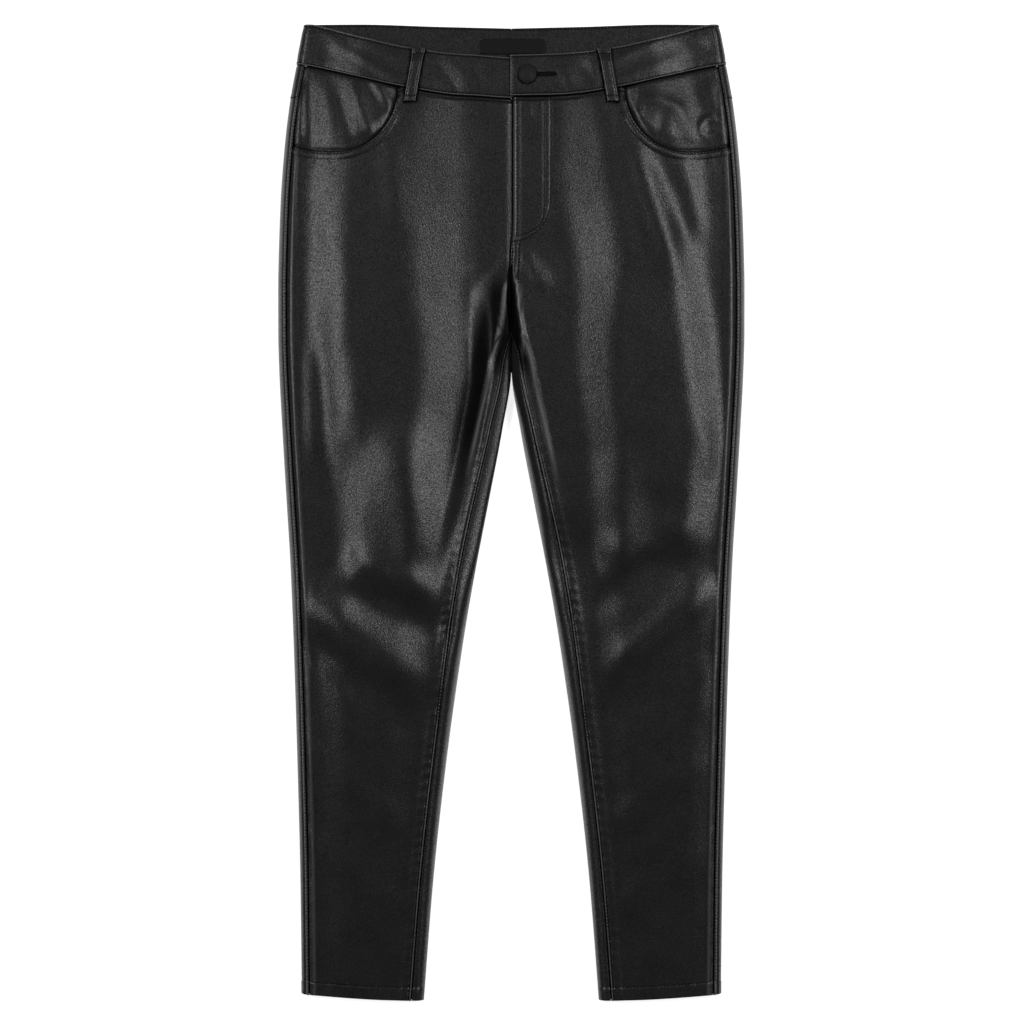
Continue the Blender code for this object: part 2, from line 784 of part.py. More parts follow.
def build_band(side, name, collection):
    starts = TAB_COLUMNS if side < 0 else (OVER_END,)
    halves = [*starts, 3.0, *WAIST_HALVES, *SIDE_HALVES[::2]]
    front = [lambda down, half=half: front_ring(down, half) for half in halves]
    edge = [lambda down, arc=arc: outline_ring(down, arc) for arc in SIDE_ARCS]
    rings = front + edge
    rings += [back_column("outer roll", share) for share in steps(0, 1, ROLL_COLUMNS)]
    rings += [back_column("flat", share) for share in steps(0, 1, FLAT_COLUMNS)[1:]]
    rings += [back_column("inner roll", 1.0)]
    halves += [halves[-1]] * (len(rings) - len(halves))
    rows = []
    for share in steps(0, 1, SEAM_ROWS):
        row = []
        for half, ring in zip(halves, rings):
            seam = on_seam(band_seam, -GAP / 2)(ring)
            top = on_seam(band_top, 0.0)(ring)
            seam += band_drop(side, half)
            top += band_drop(side, half)
            if half < 0 and side < 0:
                seam -= TAB_RAISED + RIGHT_BAND_DROP
            down = mix(seam, top, share)
            out = BAND_RAISE + overlap_raise(side, half)
            row.append(Node(down, ring(down), out, BAND_WALL))
        rows.append(row)
    return wall_of(name, side, [rows], collection)


# ---------------------------------------------------------------- pocket facing and fly


def facing_depth(half, down):
    """How far the facing lies beneath the skin: under the front's edge, then rising to the band."""
    mouth = pocket_line(half)
    rise_half = half - POCKET_START
    clear = min(mouth - down, rise_half) if half > POCKET_START else -1.0
    under = PANEL_WALL + UNDER_GAP
    return under * (1 - smooth(clear / FACING_FADE))


def pocket_line(half):
    """down of the pocket's edge at a distance from the centre line."""
    if half >= POCKET_LOW:
        return POCKET_TOP + POCKET_DEEP - pocket_rise(half)
    share = (POCKET_LOW - half) / (POCKET_LOW - POCKET_START)
    return POCKET_TOP + POCKET_DEEP * math.sqrt(max(1 - share * share, 0.0))


def build_facing(side, name, collection):
    """The side piece behind the pocket's mouth, from the band to just under the front's edge."""
    lower = [pocket_edge(angle, FACING_UNDER) for angle in steps(0, QUARTER, 6)]
    end = side_seam(POCKET_TOP + POCKET_DEEP) - GAP / 2
    for half in steps(POCKET_LOW, end, 3)[1:]:
        lower.append((half, POCKET_TOP + POCKET_DEEP + FACING_UNDER - pocket_rise(half)))
    seam_at = abs(skin(1, SIDE_SEAM_TOP, outline_ring(SIDE_SEAM_TOP, SIDE_ARCS[0])).x)
    upper = [lower[0][0], *SIDE_HALVES, seam_at, side_seam(SIDE_SEAM_TOP) - GAP / 2]
    count = len(lower) - 1
    rows = []
    for share in steps(0, 1, FACING_ROWS):
        row = []
        for i, ((half_low, down_low), half_top) in enumerate(zip(lower, upper)):
            down_top = band_edges(0, half_top)[1] + GAP
            down = mix(down_low, down_top, share)
            half = mix(half_low, half_top, share)
            if i == count:
                half = side_seam(down) - GAP / 2
            row.append(Node(down, front_ring(down, half), -facing_depth(half, down), PANEL_WALL))
        rows.append(row)
    return wall_of(name, side, [rows], collection)


def build_underlap(name, collection):
    """The strip behind the fly's opening."""
    under = -(PANEL_WALL + UNDER_GAP)
    rows = []
    for down in steps(FLY_BOTTOM, UNDERLAP_TOP, 7):
        row = []
        for half in steps(UNDERLAP_RIGHT, UNDERLAP_LEFT, 4):
            row.append(Node(down, front_ring(down, half), under, PANEL_WALL))
        rows.append(row)
    return wall_of(name, 1, [rows], collection)


# ---------------------------------------------------------------- belt loops, button, labels


def build_loop(loop, collection):
    """A folded strap, sewn at both ends, standing off the band in front and flat at the back."""
    side = -1 if loop.x_top < 0 else 1
    base = BAND_RAISE + GAP if loop.on_front else BAND_LIFT - LOOP_WALL
    arch = LOOP_ARCH if loop.on_front else 0.0
    grid = []
    for share in steps(1, 0, LOOP_ROWS):
        row = []
        middle = mix(loop.x_top, loop.x_bottom, share)
        down = mix(loop.down_top, loop.down_bottom, share)
        wide = LOOP_WIDE + LOOP_FLARE * (1 - smooth(share / FLARE_SHARE))
        out = base + arch * smooth(min(share, 1 - share) / ARCH_SHARE)
        for across_share in (-0.5, 0.0, 0.5):
            x = middle + wide * across_share
            points = []
            for height in (out + LOOP_WALL, out):
                if loop.on_front:
                    points.append(place(side, down, front_ring(down, side * x), height))
                else:
                    points.append(Vector((x, WAIST_Y - down, lift(down) - height)) * MM)
            row.append(((share, across_share), *points))
        grid.append(row)
    mesh = walled(loop.name, [grid], flip=not loop.on_front)
    return add_object(loop.name, mesh, collection)


def build_button(collection):
    """A covered button turned about its shank, which passes the eyelet down to the tab."""
    mesh = bpy.data.meshes.new("waist_button")
    outline = bmesh.new()
    verts = [outline.verts.new((row.radius * MM, 0, row.height * MM)) for row in BUTTON_PROFILE]
    for a, b in zip(verts, verts[1:]):
        outline.edges.new((a, b))
    outline.to_mesh(mesh)
    outline.free()
    mesh.shade_smooth()
    made = add_object("waist_button", mesh, collection, roughness=0.5)
    turn = made.modifiers.new("turn", "SCREW")
    turn.steps = turn.render_steps = BUTTON_STEPS
    turn.use_merge_vertices = True
    turn.merge_threshold = 0.00001
    ring = front_ring(BUTTON_DOWN, BUTTON_X)
    seat = place(1, BUTTON_DOWN, ring, BAND_RAISE + BAND_WALL + GAP)
    above = place(1, BUTTON_DOWN, ring, BAND_RAISE + BAND_WALL + BUTTON_RADIUS)
    made.location = seat
    made.rotation_euler = (above - seat).to_track_quat("Z", "Y").to_euler()
    return made


def cut_buttonhole(band, button, cutters):
    """An eyelet round the shank and a slit that runs from it, cut through the band."""
    bpy.ops.mesh.primitive_cylinder_add(
        vertices=20, radius=EYELET_RADIUS * MM, depth=CUT_DEEP * MM, end_fill_type="NGON"
    )
    eyelet = bpy.context.object
    length = SLIT_END - BUTTON_X
    bpy.ops.mesh.primitive_cube_add(size=1)
    slit = bpy.context.object
    for vert in slit.data.vertices:
        vert.co.x = (vert.co.x + 0.5) * length * MM
        vert.co.y *= SLIT_WIDE * MM
        vert.co.z *= CUT_DEEP * MM
    for cutter, name in ((eyelet, "eyelet_cutter"), (slit, "slit_cutter")):
        cutter.name = name
        for holder in cutter.users_collection:
            holder.objects.unlink(cutter)
        cutters.objects.link(cutter)
        cutter.location = button.location
        cutter.rotation_euler = button.rotation_euler
        cutter.hide_render = True
        cutter.display_type = "WIRE"
        cut = band.modifiers.new(name, "BOOLEAN")
        cut.operation = "DIFFERENCE"
        cut.object = cutter


def build_label(label, collection):
    """A thin label on the inner face of the back waistband, its top corners cut."""
    inside = BAND_WALL - BAND_RAISE + GAP
    left, right = label.x_from, label.x_to
    columns = (
        (left, label.corner),
        (left + CORNER_WIDE, 0.0),
        (right - CORNER_WIDE, 0.0),
        (right, label.corner),
    )
    grid = []
    for share in steps(0, 1, 2):
        row = []
        for x, cut in columns:
            down = mix(label.down_to, label.down_from + cut, share)
            height = lift(down) + inside
            foot = Vector((x, WAIST_Y - down, height)) * MM
            row.append(((x, share), foot + Vector((0, 0, LABEL_THICK * MM)), foot))
        grid.append(row)
    return add_object(label.name, walled(label.name, [grid]), collection, SATIN, 0.6)


def main():
    for old in list(bpy.data.objects):
        bpy.data.objects.remove(old)
    garment = bpy.data.collections.new("leather_trousers")
    cutters = bpy.data.collections.new("cutters")
    for collection in (garment, cutters):
        bpy.context.scene.collection.children.link(collection)
    for side, hand in ((1, "left"), (-1, "right")):
        build_front(side, "front_panel_" + hand, garment)
        build_back(side, "back_panel_" + hand, garment)
        build_yoke(side, "back_yoke_" + hand, garment)
        build_facing(side, "pocket_facing_" + hand, garment)
    build_band(-1, "waistband_right", garment)
    over_band = build_band(1, "waistband_left", garment)
    build_underlap("fly_underlap", garment)
    for loop in LOOPS:
        build_loop(loop, garment)
    button = build_button(garment)
    cut_buttonhole(over_band, button, cutters)
    for label in LABELS:
        build_label(label, garment)


main()
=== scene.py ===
"""Leather trousers laid flat on their back: the looks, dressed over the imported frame.

Sizes are in millimetres until a mesh is made. "down" is the distance below the top edge of the waistband,
"half" the distance from the centre line, and "out" the distance off the laid skin, along its normal. "ring"
runs 0 to 1 over the front from the inner edge to the outline, 1 to 2 back along the underside, and past 2 on
the front again.
"""

import sys

import logging
import math
from collections.abc import Callable, Sequence
from dataclasses import dataclass, field
from enum import Enum
from typing import NamedTuple

import bpy
import numpy as np
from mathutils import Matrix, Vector


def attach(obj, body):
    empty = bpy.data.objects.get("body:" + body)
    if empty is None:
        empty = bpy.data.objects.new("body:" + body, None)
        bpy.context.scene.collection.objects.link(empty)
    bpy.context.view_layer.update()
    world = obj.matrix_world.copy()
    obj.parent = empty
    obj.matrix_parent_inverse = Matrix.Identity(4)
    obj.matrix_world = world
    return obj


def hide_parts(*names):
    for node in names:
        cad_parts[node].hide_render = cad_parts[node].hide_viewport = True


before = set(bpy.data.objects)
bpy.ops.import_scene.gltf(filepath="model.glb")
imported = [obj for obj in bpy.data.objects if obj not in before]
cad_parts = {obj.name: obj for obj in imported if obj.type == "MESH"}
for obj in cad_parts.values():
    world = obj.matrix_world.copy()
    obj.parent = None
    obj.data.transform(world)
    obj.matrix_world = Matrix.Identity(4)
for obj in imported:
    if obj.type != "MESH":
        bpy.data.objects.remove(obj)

MM = 0.001
QUARTER = math.pi / 2
Array = np.ndarray
Number = float | np.ndarray
Point = tuple[float, float]

log = logging.getLogger("leather_trousers")


class Side(Enum):
    """A side of the garment, named for the wearer's hand. Its value is the sign of X there."""

    LEFT = 1
    RIGHT = -1

    @property
    def word(self) -> str:
        """The side's name as piece names have it."""
        return self.name.lower()


# ---------------------------------------------------------------- the laid form, as the solids have it


class Section(NamedTuple):
    """A section across both legs: its outline, the heights of its skin and the radii of its rolls.

    flank is the height of a steep rise beside the inner edge. rise_in and rise_out are the shares of the way
    from the inner edge and from the outline to the middle where the slopes up to the crown are steepest.
    """

    down: Number
    outer: Number
    inner: Number
    crown: Number
    shoulder_out: Number
    shoulder_in: Number
    inner_base: Number
    roll_out: Number
    roll_in: Number
    flank: Number
    rise_in: Number
    rise_out: Number


SECTIONS = (
    Section(0, 207.2, 0.0, 15.0, 11.0, 14.0, 14.0, 6.0, 0.0, 0.0, 0.58, 0.45),
    Section(42, 215.0, 0.0, 20.0, 15.5, 17.5, 17.5, 8.0, 0.0, 0.0, 0.58, 0.45),
    Section(78, 221.3, 0.0, 26.0, 21.5, 20.5, 20.5, 11.0, 0.0, 0.0, 0.60, 0.45),
    Section(116, 226.0, 0.0, 31.0, 25.5, 22.5, 22.5, 13.0, 0.0, 0.0, 0.62, 0.43),
    Section(176, 230.5, 0.0, 36.0, 28.5, 24.5, 24.5, 15.0, 0.0, 0.0, 0.62, 0.42),
    Section(236, 232.6, 0.0, 38.5, 29.5, 24.5, 24.5, 16.0, 0.0, 1.0, 0.62, 0.42),
    Section(262, 233.1, 0.0, 39.0, 29.5, 22.0, 19.0, 16.0, 6.0, 5.0, 0.62, 0.42),
    Section(310, 233.0, 0.0, 40.0, 29.5, 15.5, 12.5, 16.0, 13.0, 12.0, 0.585, 0.43),
    Section(347, 232.0, 0.15, 40.0, 29.5, 13.5, 9.8, 16.0, 15.0, 14.0, 0.585, 0.47),
    Section(405, 229.0, 8.8, 39.0, 29.0, 13.5, 9.5, 16.0, 16.0, 14.0, 0.61, 0.52),
    Section(476, 224.8, 22.2, 36.0, 28.5, 15.5, 9.5, 15.0, 17.0, 12.0, 0.58, 0.60),
    Section(536, 221.1, 33.8, 32.5, 28.5, 21.0, 13.5, 14.0, 16.0, 3.5, 0.54, 0.60),
    Section(576, 219.31, 41.02, 31.5, 28.5, 27.0, 13.5, 13.5, 15.5, 1.0, 0.54, 0.45),
    Section(616, 217.8, 47.7, 30.5, 27.0, 27.5, 11.0, 13.0, 15.0, 0.0, 0.58, 0.42),
    Section(736, 214.1, 64.7, 25.5, 23.5, 22.5, 6.9, 12.0, 14.0, 0.0, 0.58, 0.50),
    Section(856, 211.2, 78.0, 19.5, 18.1, 17.5, 5.5, 10.0, 12.0, 0.0, 0.58, 0.50),
    Section(980, 209.8, 87.8, 14.5, 13.7, 13.4, 4.6, 8.0, 9.0, 0.0, 0.58, 0.50),
)


class BandEdge(NamedTuple):
    """The waistband's top edge and the seam at its foot, at a distance from the centre line."""

    half: float
    top: float
    seam: float


FRONT_BAND = (
    BandEdge(0, 32.5, 74.3),
    BandEdge(51, 31.0, 73.4),
    BandEdge(105, 24.1, 65.7),
    BandEdge(145, 15.1, 56.7),
    BandEdge(185, 4.3, 47.1),
    BandEdge(200, 0.9, 44.0),
    BandEdge(214, 0.5, 41.6),
)
BACK_BAND = (
    BandEdge(0, 4.0, 45.5),
    BandEdge(75, 2.2, 43.6),
    BandEdge(150, 0.0, 42.0),
    BandEdge(214, 0.5, 41.6),
)


class Crease(NamedTuple):
    """A soft ridge, or a trough where its height is negative, between two points of the front."""

    x_from: float
    down_from: float
    x_to: float
    down_to: float
    half_width: float
    height: float


FOLDS = (
    Crease(-114, 416, -84, 545, 30, 5.5),
    Crease(-153, 416, -168, 545, 20, -3.0),
    Crease(-152, 532, -84, 566, 15, 3.8),
    Crease(-165, 566, -62, 612, 17, -4.4),
    Crease(-206, 574, -92, 660, 21, 5.8),
    Crease(-208, 618, -101, 702, 18, -2.2),
    Crease(-206, 724, -106, 802, 16, 1.4),
    Crease(-208, 812, -110, 884, 15, 1.1),
    Crease(106, 440, 100, 530, 24, 2.0),
    Crease(148, 470, 146, 550, 24, -2.2),
    Crease(176, 500, 98, 530, 18, 2.8),
    Crease(186, 534, 66, 584, 17, -3.8),
    Crease(199, 560, 104, 640, 17, 4.8),
    Crease(206, 608, 104, 694, 18, -2.0),
    Crease(195, 735, 101, 800, 16, 1.5),
    Crease(195, 820, 99, 885, 15, 1.1),
    Crease(-5, 228, -33, 262, 9, 1.6),
    Crease(6, 228, 35, 264, 9, 1.5),
    Crease(122, 122, 162, 250, 12, 2.2),
    Crease(148, 135, 174, 220, 13, -3.0),
)


@dataclass(frozen=True)
class FormSizes:
    """Driving sizes of the laid form, the same as the solids'."""

    waist_y: float = 488.5
    gap: float = 0.3
    under_gap: float = 0.8
    panel_wall: float = 1.4
    hem_wall: float = 2.5
    hem_deep: float = 13.5
    band_wall: float = 2.4
    band_raise: float = 0.3
    loop_wall: float = 2.0
    crotch_point: float = 310.0
    apex: float = 347.0
    outline_rise: float = 0.42
    under_roll: float = 1.3
    band_lift: float = 3.1
    lift_ends: Point = (62.0, 100.0)
    rise_in_half: tuple[Point, ...] = ((80, 0.30), (150, 0.42), (236, 0.38), (310, 0.31), (560, 0.27))
    rise_out_half: float = 0.21
    rise_rounding: float = 0.3
    left_raise: float = 1.3
    left_half: float = 0.76
    left_rise_in: tuple[Point, ...] = (
        (150, 0.0), (260, 0.12), (405, 0.12), (476, 0.14), (536, 0.12), (620, 0.0)
    )
    left_rise_out: tuple[Point, ...] = (
        (150, 0.06), (240, 0.06), (306, -0.02), (376, -0.17), (436, -0.27), (560, -0.2)
    )
    flank_ends: Point = (17.0, 43.0)
    fold_fade: float = 24.0
    seat_spread: float = 70.0
    yoke_seam: tuple[Point, ...] = ((0, 106.0), (214, 75.5))
    side_seam_in: tuple[Point, ...] = ((0, 9.0), (600, 9.0), (980, 8.0))
    inseam_in: tuple[Point, ...] = (
        (310, 0.0), (347, 8.0), (405, 11.8), (536, 15.7), (736, 12.3), (980, 12.3)
    )
    centre_seam: tuple[Point, ...] = ((0, 1.0), (205, 1.0), (226, -1.0), (262, -1.7), (310, 0.0))
    right_band_drop: float = 2.0
    drop_fades: float = 45.0
    hem_outer: float = 970.4
    hem_inner: float = 977.0
    upper_start: float = 180.0
    pocket_start: float = 113.7
    pocket_low: float = 174.0
    pocket_deep: float = 64.3
    pocket_top: float = 65.7
    pocket_rise: float = 5.7
    pocket_end: float = 219.0
    band_tab: float = 42.0
    tab_raised: float = 1.9
    overlap_half: float = 56.4
    overlap_fade: float = 26.0
    over_end: float = -1.5


SIZES = FormSizes()


class Curve:
    """A smooth curve through (place, value) points, level beyond both ends."""

    def __init__(self, points: Sequence[Point]) -> None:
        """Works out the tangents that keep the curve from overshooting its points.

        Args:
            points: places, in rising order, each with its value.
        """
        self.places, self.values = np.array(points, dtype=float).T
        slopes = np.diff(self.values) / np.diff(self.places)
        product = slopes[:-1] * slopes[1:]
        total = np.where(product > 0, slopes[:-1] + slopes[1:], 1.0)
        bends = np.where(product > 0, 2 * product / total, 0.0)
        self.tangents = np.concatenate((slopes[:1], bends, slopes[-1:]))

    def __call__(self, at: Number) -> Array:
        """The curve's value.

        Args:
            at: one place or many.

        Returns:
            The value at each place.
        """
        at = np.clip(np.asarray(at, dtype=float), self.places[0], self.places[-1])
        index = np.searchsorted(self.places, at, side="right") - 1
        index = np.clip(index, 0, len(self.places) - 2)
        span = self.places[index + 1] - self.places[index]
        t = (at - self.places[index]) / span
        from_low = (1 + 2 * t) * (1 - t) ** 2 * self.values[index]
        from_high = t * t * (3 - 2 * t) * self.values[index + 1]
        lean = t * (1 - t) ** 2 * self.tangents[index] + t * t * (t - 1) * self.tangents[index + 1]
        return from_low + from_high + lean * span


def smooth(t: Number) -> Array:
    """Eased step from 0 to 1."""
    t = np.clip(t, 0.0, 1.0)
    return t * t * (3 - 2 * t)


def mix(a: Number, b: Number, t: Number) -> Array:
    """The value a share t of the way from a to b."""
    return a + (b - a) * t


def quarter(distance: Number, radius: Number) -> Array:
    """Height of a quarter circle of unit height, at a distance in from its start."""
    radius = np.maximum(radius, 1e-6)
    share = np.clip(np.asarray(distance) / radius, 0.0, 1.0)
    return np.sqrt(1 - (1 - share) ** 2)


def even_rise(t: Number, rounding: float) -> Array:
    """A rise from 0 to 1, at an even slope but for its rounded ends."""
    low, first, last, high = (np.maximum(t - at, 0.0) ** 2 for at in (0.0, rounding, 1 - rounding, 1.0))
    return (low - first - last + high) / (2 * rounding * (1 - rounding))


def fade(value: Number, start: float, width: float) -> Array:
    """Eased step from 1 to 0, over a width from its start."""
    return 1 - smooth((value - start) / width)


def swell(distance: Number, at: float, half_width: float, height: float) -> Array:
    """A soft ridge across a distance, or a trough where its height is negative."""
    return height * np.exp(-(((distance - at) / half_width) ** 2))


class Ridge(NamedTuple):
    """A soft ridge at a distance in from an edge, or a groove where its height is negative."""

    at: float
    half_width: float
    height: float


def ridged(distance: Array, *ridges: Ridge) -> Array:
    """The sum of ridges at distances in from an edge."""
    return sum(swell(distance, *ridge) for ridge in ridges)


def creased(creases: Sequence[Crease], x: Array, down: Array) -> Array:
    """The sum of creases at points of the front.

    Args:
        creases: the creases.
        x: X of each point.
        down: how far down each point is.

    Returns:
        How far each point is raised.
    """
    total = np.zeros(np.broadcast(x, down).shape)
    for crease in creases:
        along_x, along_d = crease.x_to - crease.x_from, crease.down_to - crease.down_from
        length = math.hypot(along_x, along_d)
        off_x, off_d = x - crease.x_from, down - crease.down_from
        t = (off_x * along_x + off_d * along_d) / length**2
        across = (off_x * along_d - off_d * along_x) / length / crease.half_width
        near = (np.abs(across) < 3) & (t > -0.3) & (t < 1.3)
        taper = smooth((t + 0.25) / 0.5) * smooth((1.25 - t) / 0.5)
        total += np.where(near, crease.height * taper * np.exp(-across * across), 0.0)
    return total


class LaidForm:
    """The skin of the garment as it lies, one side at a time."""

    def __init__(self, sizes: FormSizes) -> None:
        """Makes the smooth curves through the tables."""
        self.sizes = sizes
        self.curves = {
            name: Curve([(row.down, getattr(row, name)) for row in SECTIONS])
            for name in Section._fields[1:]
        }
        self.yoke_curve = Curve(sizes.yoke_seam)
        self.side_seam_in = Curve(sizes.side_seam_in)
        self.inseam_in = Curve(sizes.inseam_in)
        self.centre_seam = Curve(sizes.centre_seam)
        self.left_rise_in = Curve(sizes.left_rise_in)
        self.left_rise_out = Curve(sizes.left_rise_out)
        self.rise_in_half = Curve(sizes.rise_in_half)
        self.band_curves = {
            (name, front): Curve([(row.half, getattr(row, name)) for row in table])
            for front, table in ((True, FRONT_BAND), (False, BACK_BAND))
            for name in ("top", "seam")
        }

    def section(self, down: Number) -> Section:
        """The section at a distance down."""
        return Section(down, *(curve(down) for curve in self.curves.values()))

    def lift(self, down: Number) -> Array:
        """Height of the underside: the back waist rides on its belt loops."""
        start, end = self.sizes.lift_ends
        return self.sizes.band_lift * (1 - smooth((down - start) / (end - start)))

    def widest(self, row: Section) -> Array:
        """Height of the outline, where the side rolls under."""
        bottom = self.lift(row.down)
        return bottom + self.sizes.outline_rise * (row.shoulder_out - bottom)

    def under_radius(self, base: Number, down: Number) -> Array:
        """Radius of the rolled underside beside a base height."""
        return self.sizes.under_roll * (base - self.lift(down))

    def under_radii(self, row: Section) -> tuple[Array, Array]:
        """Radii of the underside's rolls: the inner one starts where the legs part."""
        outer = self.under_radius(self.widest(row), row.down)
        inner = self.under_radius(row.inner_base, row.down)
        return np.where(np.asarray(row.down) >= self.sizes.apex, inner, 0.0), outer

    def front_height(self, side: Side, half: Array, down: Array) -> Array:
        """Height of the front skin at a distance from the centre line."""
        row = self.section(down)
        from_inner = np.where(down < self.sizes.apex, np.abs(half), half) - row.inner
        from_outer = row.outer - half
        reach = (row.outer - row.inner) / 2
        nearer_in = from_inner < from_outer
        edge = np.where(nearer_in, row.shoulder_in, row.shoulder_out)
        base = np.where(nearer_in, row.inner_base, self.widest(row))
        radius = np.where(nearer_in, row.roll_in, row.roll_out)
        inward = np.maximum(np.where(nearer_in, from_inner, from_outer), 0.0)
        steepest = np.where(nearer_in, row.rise_in, row.rise_out)
        in_half, flank = self.rise_in_half(down), np.where(nearer_in, row.flank, 0.0)
        if side is Side.LEFT:
            steepest = steepest + np.where(nearer_in, self.left_rise_in(down), self.left_rise_out(down))
            in_half = in_half * self.sizes.left_half
            edge, flank = edge + flank * self.sizes.left_raise, 0.0
        half_way = np.where(nearer_in, in_half, self.sizes.rise_out_half)
        rise = even_rise(0.5 + (inward / reach - steepest) / half_way / 2, self.sizes.rise_rounding)
        flank_from, flank_to = self.sizes.flank_ends
        height = base + (edge - base) * quarter(inward, radius) + (row.crown - edge - flank) * rise
        height = height + flank * smooth((inward - flank_from) / (flank_to - flank_from))
        return height + smooth(inward / self.sizes.fold_fade) * creased(FOLDS, side.value * half, down)

    def back_height(self, half: Array, down: Array) -> Array:
        """Height of the underside at a distance from the centre line."""
        row = self.section(down)
        bottom = self.lift(down)
        from_inner = np.abs(half) - row.inner + np.maximum(self.sizes.apex - down, 0.0)
        inner_base = self.curves["inner_base"](np.maximum(down, self.sizes.apex))
        outer_base = self.widest(row)
        inner = quarter(from_inner, self.under_radius(inner_base, down))
        outer = quarter(row.outer - half, self.under_radius(outer_base, down))
        return bottom + (inner_base - bottom) * (1 - inner) + (outer_base - bottom) * (1 - outer)

    @staticmethod
    def spread(row: Section, radius_in: Number, radius_out: Number) -> Array:
        """Length of a face of the section, its rolled edges measured along the roll."""
        return row.outer - row.inner + (QUARTER - 1) * (radius_in + radius_out)

    def across(self, row: Section, share: Array, radius_in: Number, radius_out: Number) -> Array:
        """Distance from the centre line at a share of a face's length from the inner edge."""
        length = self.spread(row, radius_in, radius_out)
        arc = share * length
        from_outer = length - arc
        inner = row.inner + np.where(arc > 0, self._distance_in(arc, radius_in), arc)
        outer = row.outer - self._distance_in(from_outer, radius_out)
        return np.where(arc < from_outer, inner, outer)

    @staticmethod
    def _distance_in(arc: Array, radius: Number) -> Array:
        """Distance in from the outline at a length along its rolled edge."""
        safe = np.maximum(radius, 1e-6)
        rolled = radius * (1 - np.cos(np.clip(arc, 0, None) / safe))
        return np.where(arc >= radius * QUARTER, radius + arc - radius * QUARTER, rolled)

    @staticmethod
    def arc_in(distance: Number, radius: Number) -> Array:
        """The inverse of _distance_in."""
        safe = np.maximum(radius, 1e-6)
        rolled = radius * np.arccos(np.clip(1 - distance / safe, -1, 1))
        return np.where(distance >= radius, radius * QUARTER + distance - radius, rolled)

    def _ring_at(self, row: Section, half: Array, radius_in: Number, radius_out: Number) -> Array:
        """Share of a face's length, from the inner edge, at a distance from the centre line."""
        length = self.spread(row, radius_in, radius_out)
        from_inner = half - row.inner
        from_outer = np.maximum(row.outer - half, 0.0)
        inner = np.where(from_inner > 0, self.arc_in(from_inner, radius_in), from_inner) / length
        outer = 1 - self.arc_in(from_outer, radius_out) / length
        return np.where(from_inner > (row.outer - row.inner) / 2, outer, inner)

    def front_ring(self, down: Number, half: Number) -> Array:
        """Ring place on the front at a distance from the centre line."""
        row = self.section(down)
        return self._ring_at(row, np.asarray(half, dtype=float), row.roll_in, row.roll_out)

    def back_ring(self, down: Number, half: Number) -> Array:
        """Ring place on the underside at a distance from the centre line."""
        row = self.section(down)
        return 2 - self._ring_at(row, np.asarray(half, dtype=float), *self.under_radii(row))

    def front_length(self, down: Number) -> Array:
        """Length of the front face from the inner edge to the outline."""
        row = self.section(down)
        return self.spread(row, row.roll_in, row.roll_out)

    def skin(self, side: Side, down: Number, ring: Number) -> Array:
        """Points of the skin on one side.

        Args:
            side: the side.
            down: how far down each point is.
            ring: its ring place.

        Returns:
            The points, in millimetres, along a last axis of three.
        """
        down, ring = np.broadcast_arrays(np.asarray(down, dtype=float), np.asarray(ring, dtype=float))
        ring = np.where(ring > 2, ring - 2, ring)
        row = self.section(down)
        front = self.across(row, ring, row.roll_in, row.roll_out)
        under = self.across(row, 2 - ring, *self.under_radii(row))
        on_front = ring <= 1
        height = np.where(
            on_front, self.front_height(side, front, down), self.back_height(under, down)
        )
        half = np.where(on_front, front, under)
        return np.stack((side.value * half, self.sizes.waist_y - down, height), axis=-1)

    def place(self, side: Side, down: Number, ring: Number, out: Number = 0.0) -> Array:
        """Points moved off the skin along its normal.

        Args:
            side: the side.
            down: how far down each point is.
            ring: its ring place.
            out: how far it is moved.

        Returns:
            The points, in millimetres.
        """
        ring_step, down_step = 0.0008, 0.4
        apex = self.sizes.apex
        down, ring = np.broadcast_arrays(np.asarray(down, dtype=float), np.asarray(ring, dtype=float))
        above_apex = down < apex
        high = np.where(above_apex & (ring <= 2), np.minimum(ring + ring_step, 2.0), ring + ring_step)
        low = np.where(above_apex & (ring > 2), np.maximum(ring - ring_step, 2.00001), ring - ring_step)
        above = np.where(np.abs(down - apex) < down_step, apex, down - down_step)
        around = self.skin(side, down, high) - self.skin(side, down, low)
        upward = self.skin(side, above, ring) - self.skin(side, down + down_step, ring)
        outward = np.cross(around, upward) * side.value
        outward /= np.linalg.norm(outward, axis=-1, keepdims=True)
        return self.skin(side, down, ring) + outward * np.asarray(out)[..., None]

    # Seams

    def band_edge(self, name: str, ring: Array, half: Array) -> Array:
        """down of the waistband's top or seam, which differ between front and back."""
        front = self.band_curves[(name, True)](np.abs(half))
        back = self.band_curves[(name, False)](np.abs(half))
        return np.where(ring <= 1, front, back)

    def band_drop(self, side: Side, half: Array) -> Array:
        """How much lower the wearer's right half of the front waist sits near the centre."""
        if side is Side.LEFT:
            return np.zeros(np.shape(half))
        return self.sizes.right_band_drop * (1 - smooth(np.abs(half) / self.sizes.drop_fades))

    def front_inner(self, side: Side, down: Array) -> Array:
        """Where the front panel starts: the centre seam, then the inseam."""
        centre = side.value * self.centre_seam(down)
        inseam = self.section(down).inner + self.inseam_in(down)
        return np.where(down <= self.sizes.crotch_point, centre, inseam) + self.sizes.gap / 2

    def side_seam(self, down: Array) -> Array:
        """Distance of the side seam from the centre line."""
        return self.section(down).outer - self.side_seam_in(down)

    def hem_edge(self, half: Array) -> Array:
        """down of the hem's edge, which dips from the side seam to the inseam."""
        row = self.section(self.sizes.hem_outer)
        t = np.clip((row.outer - half) / (row.outer - row.inner), 0.0, 1.0)
        return mix(self.sizes.hem_outer, self.sizes.hem_inner, np.sin(QUARTER * t))

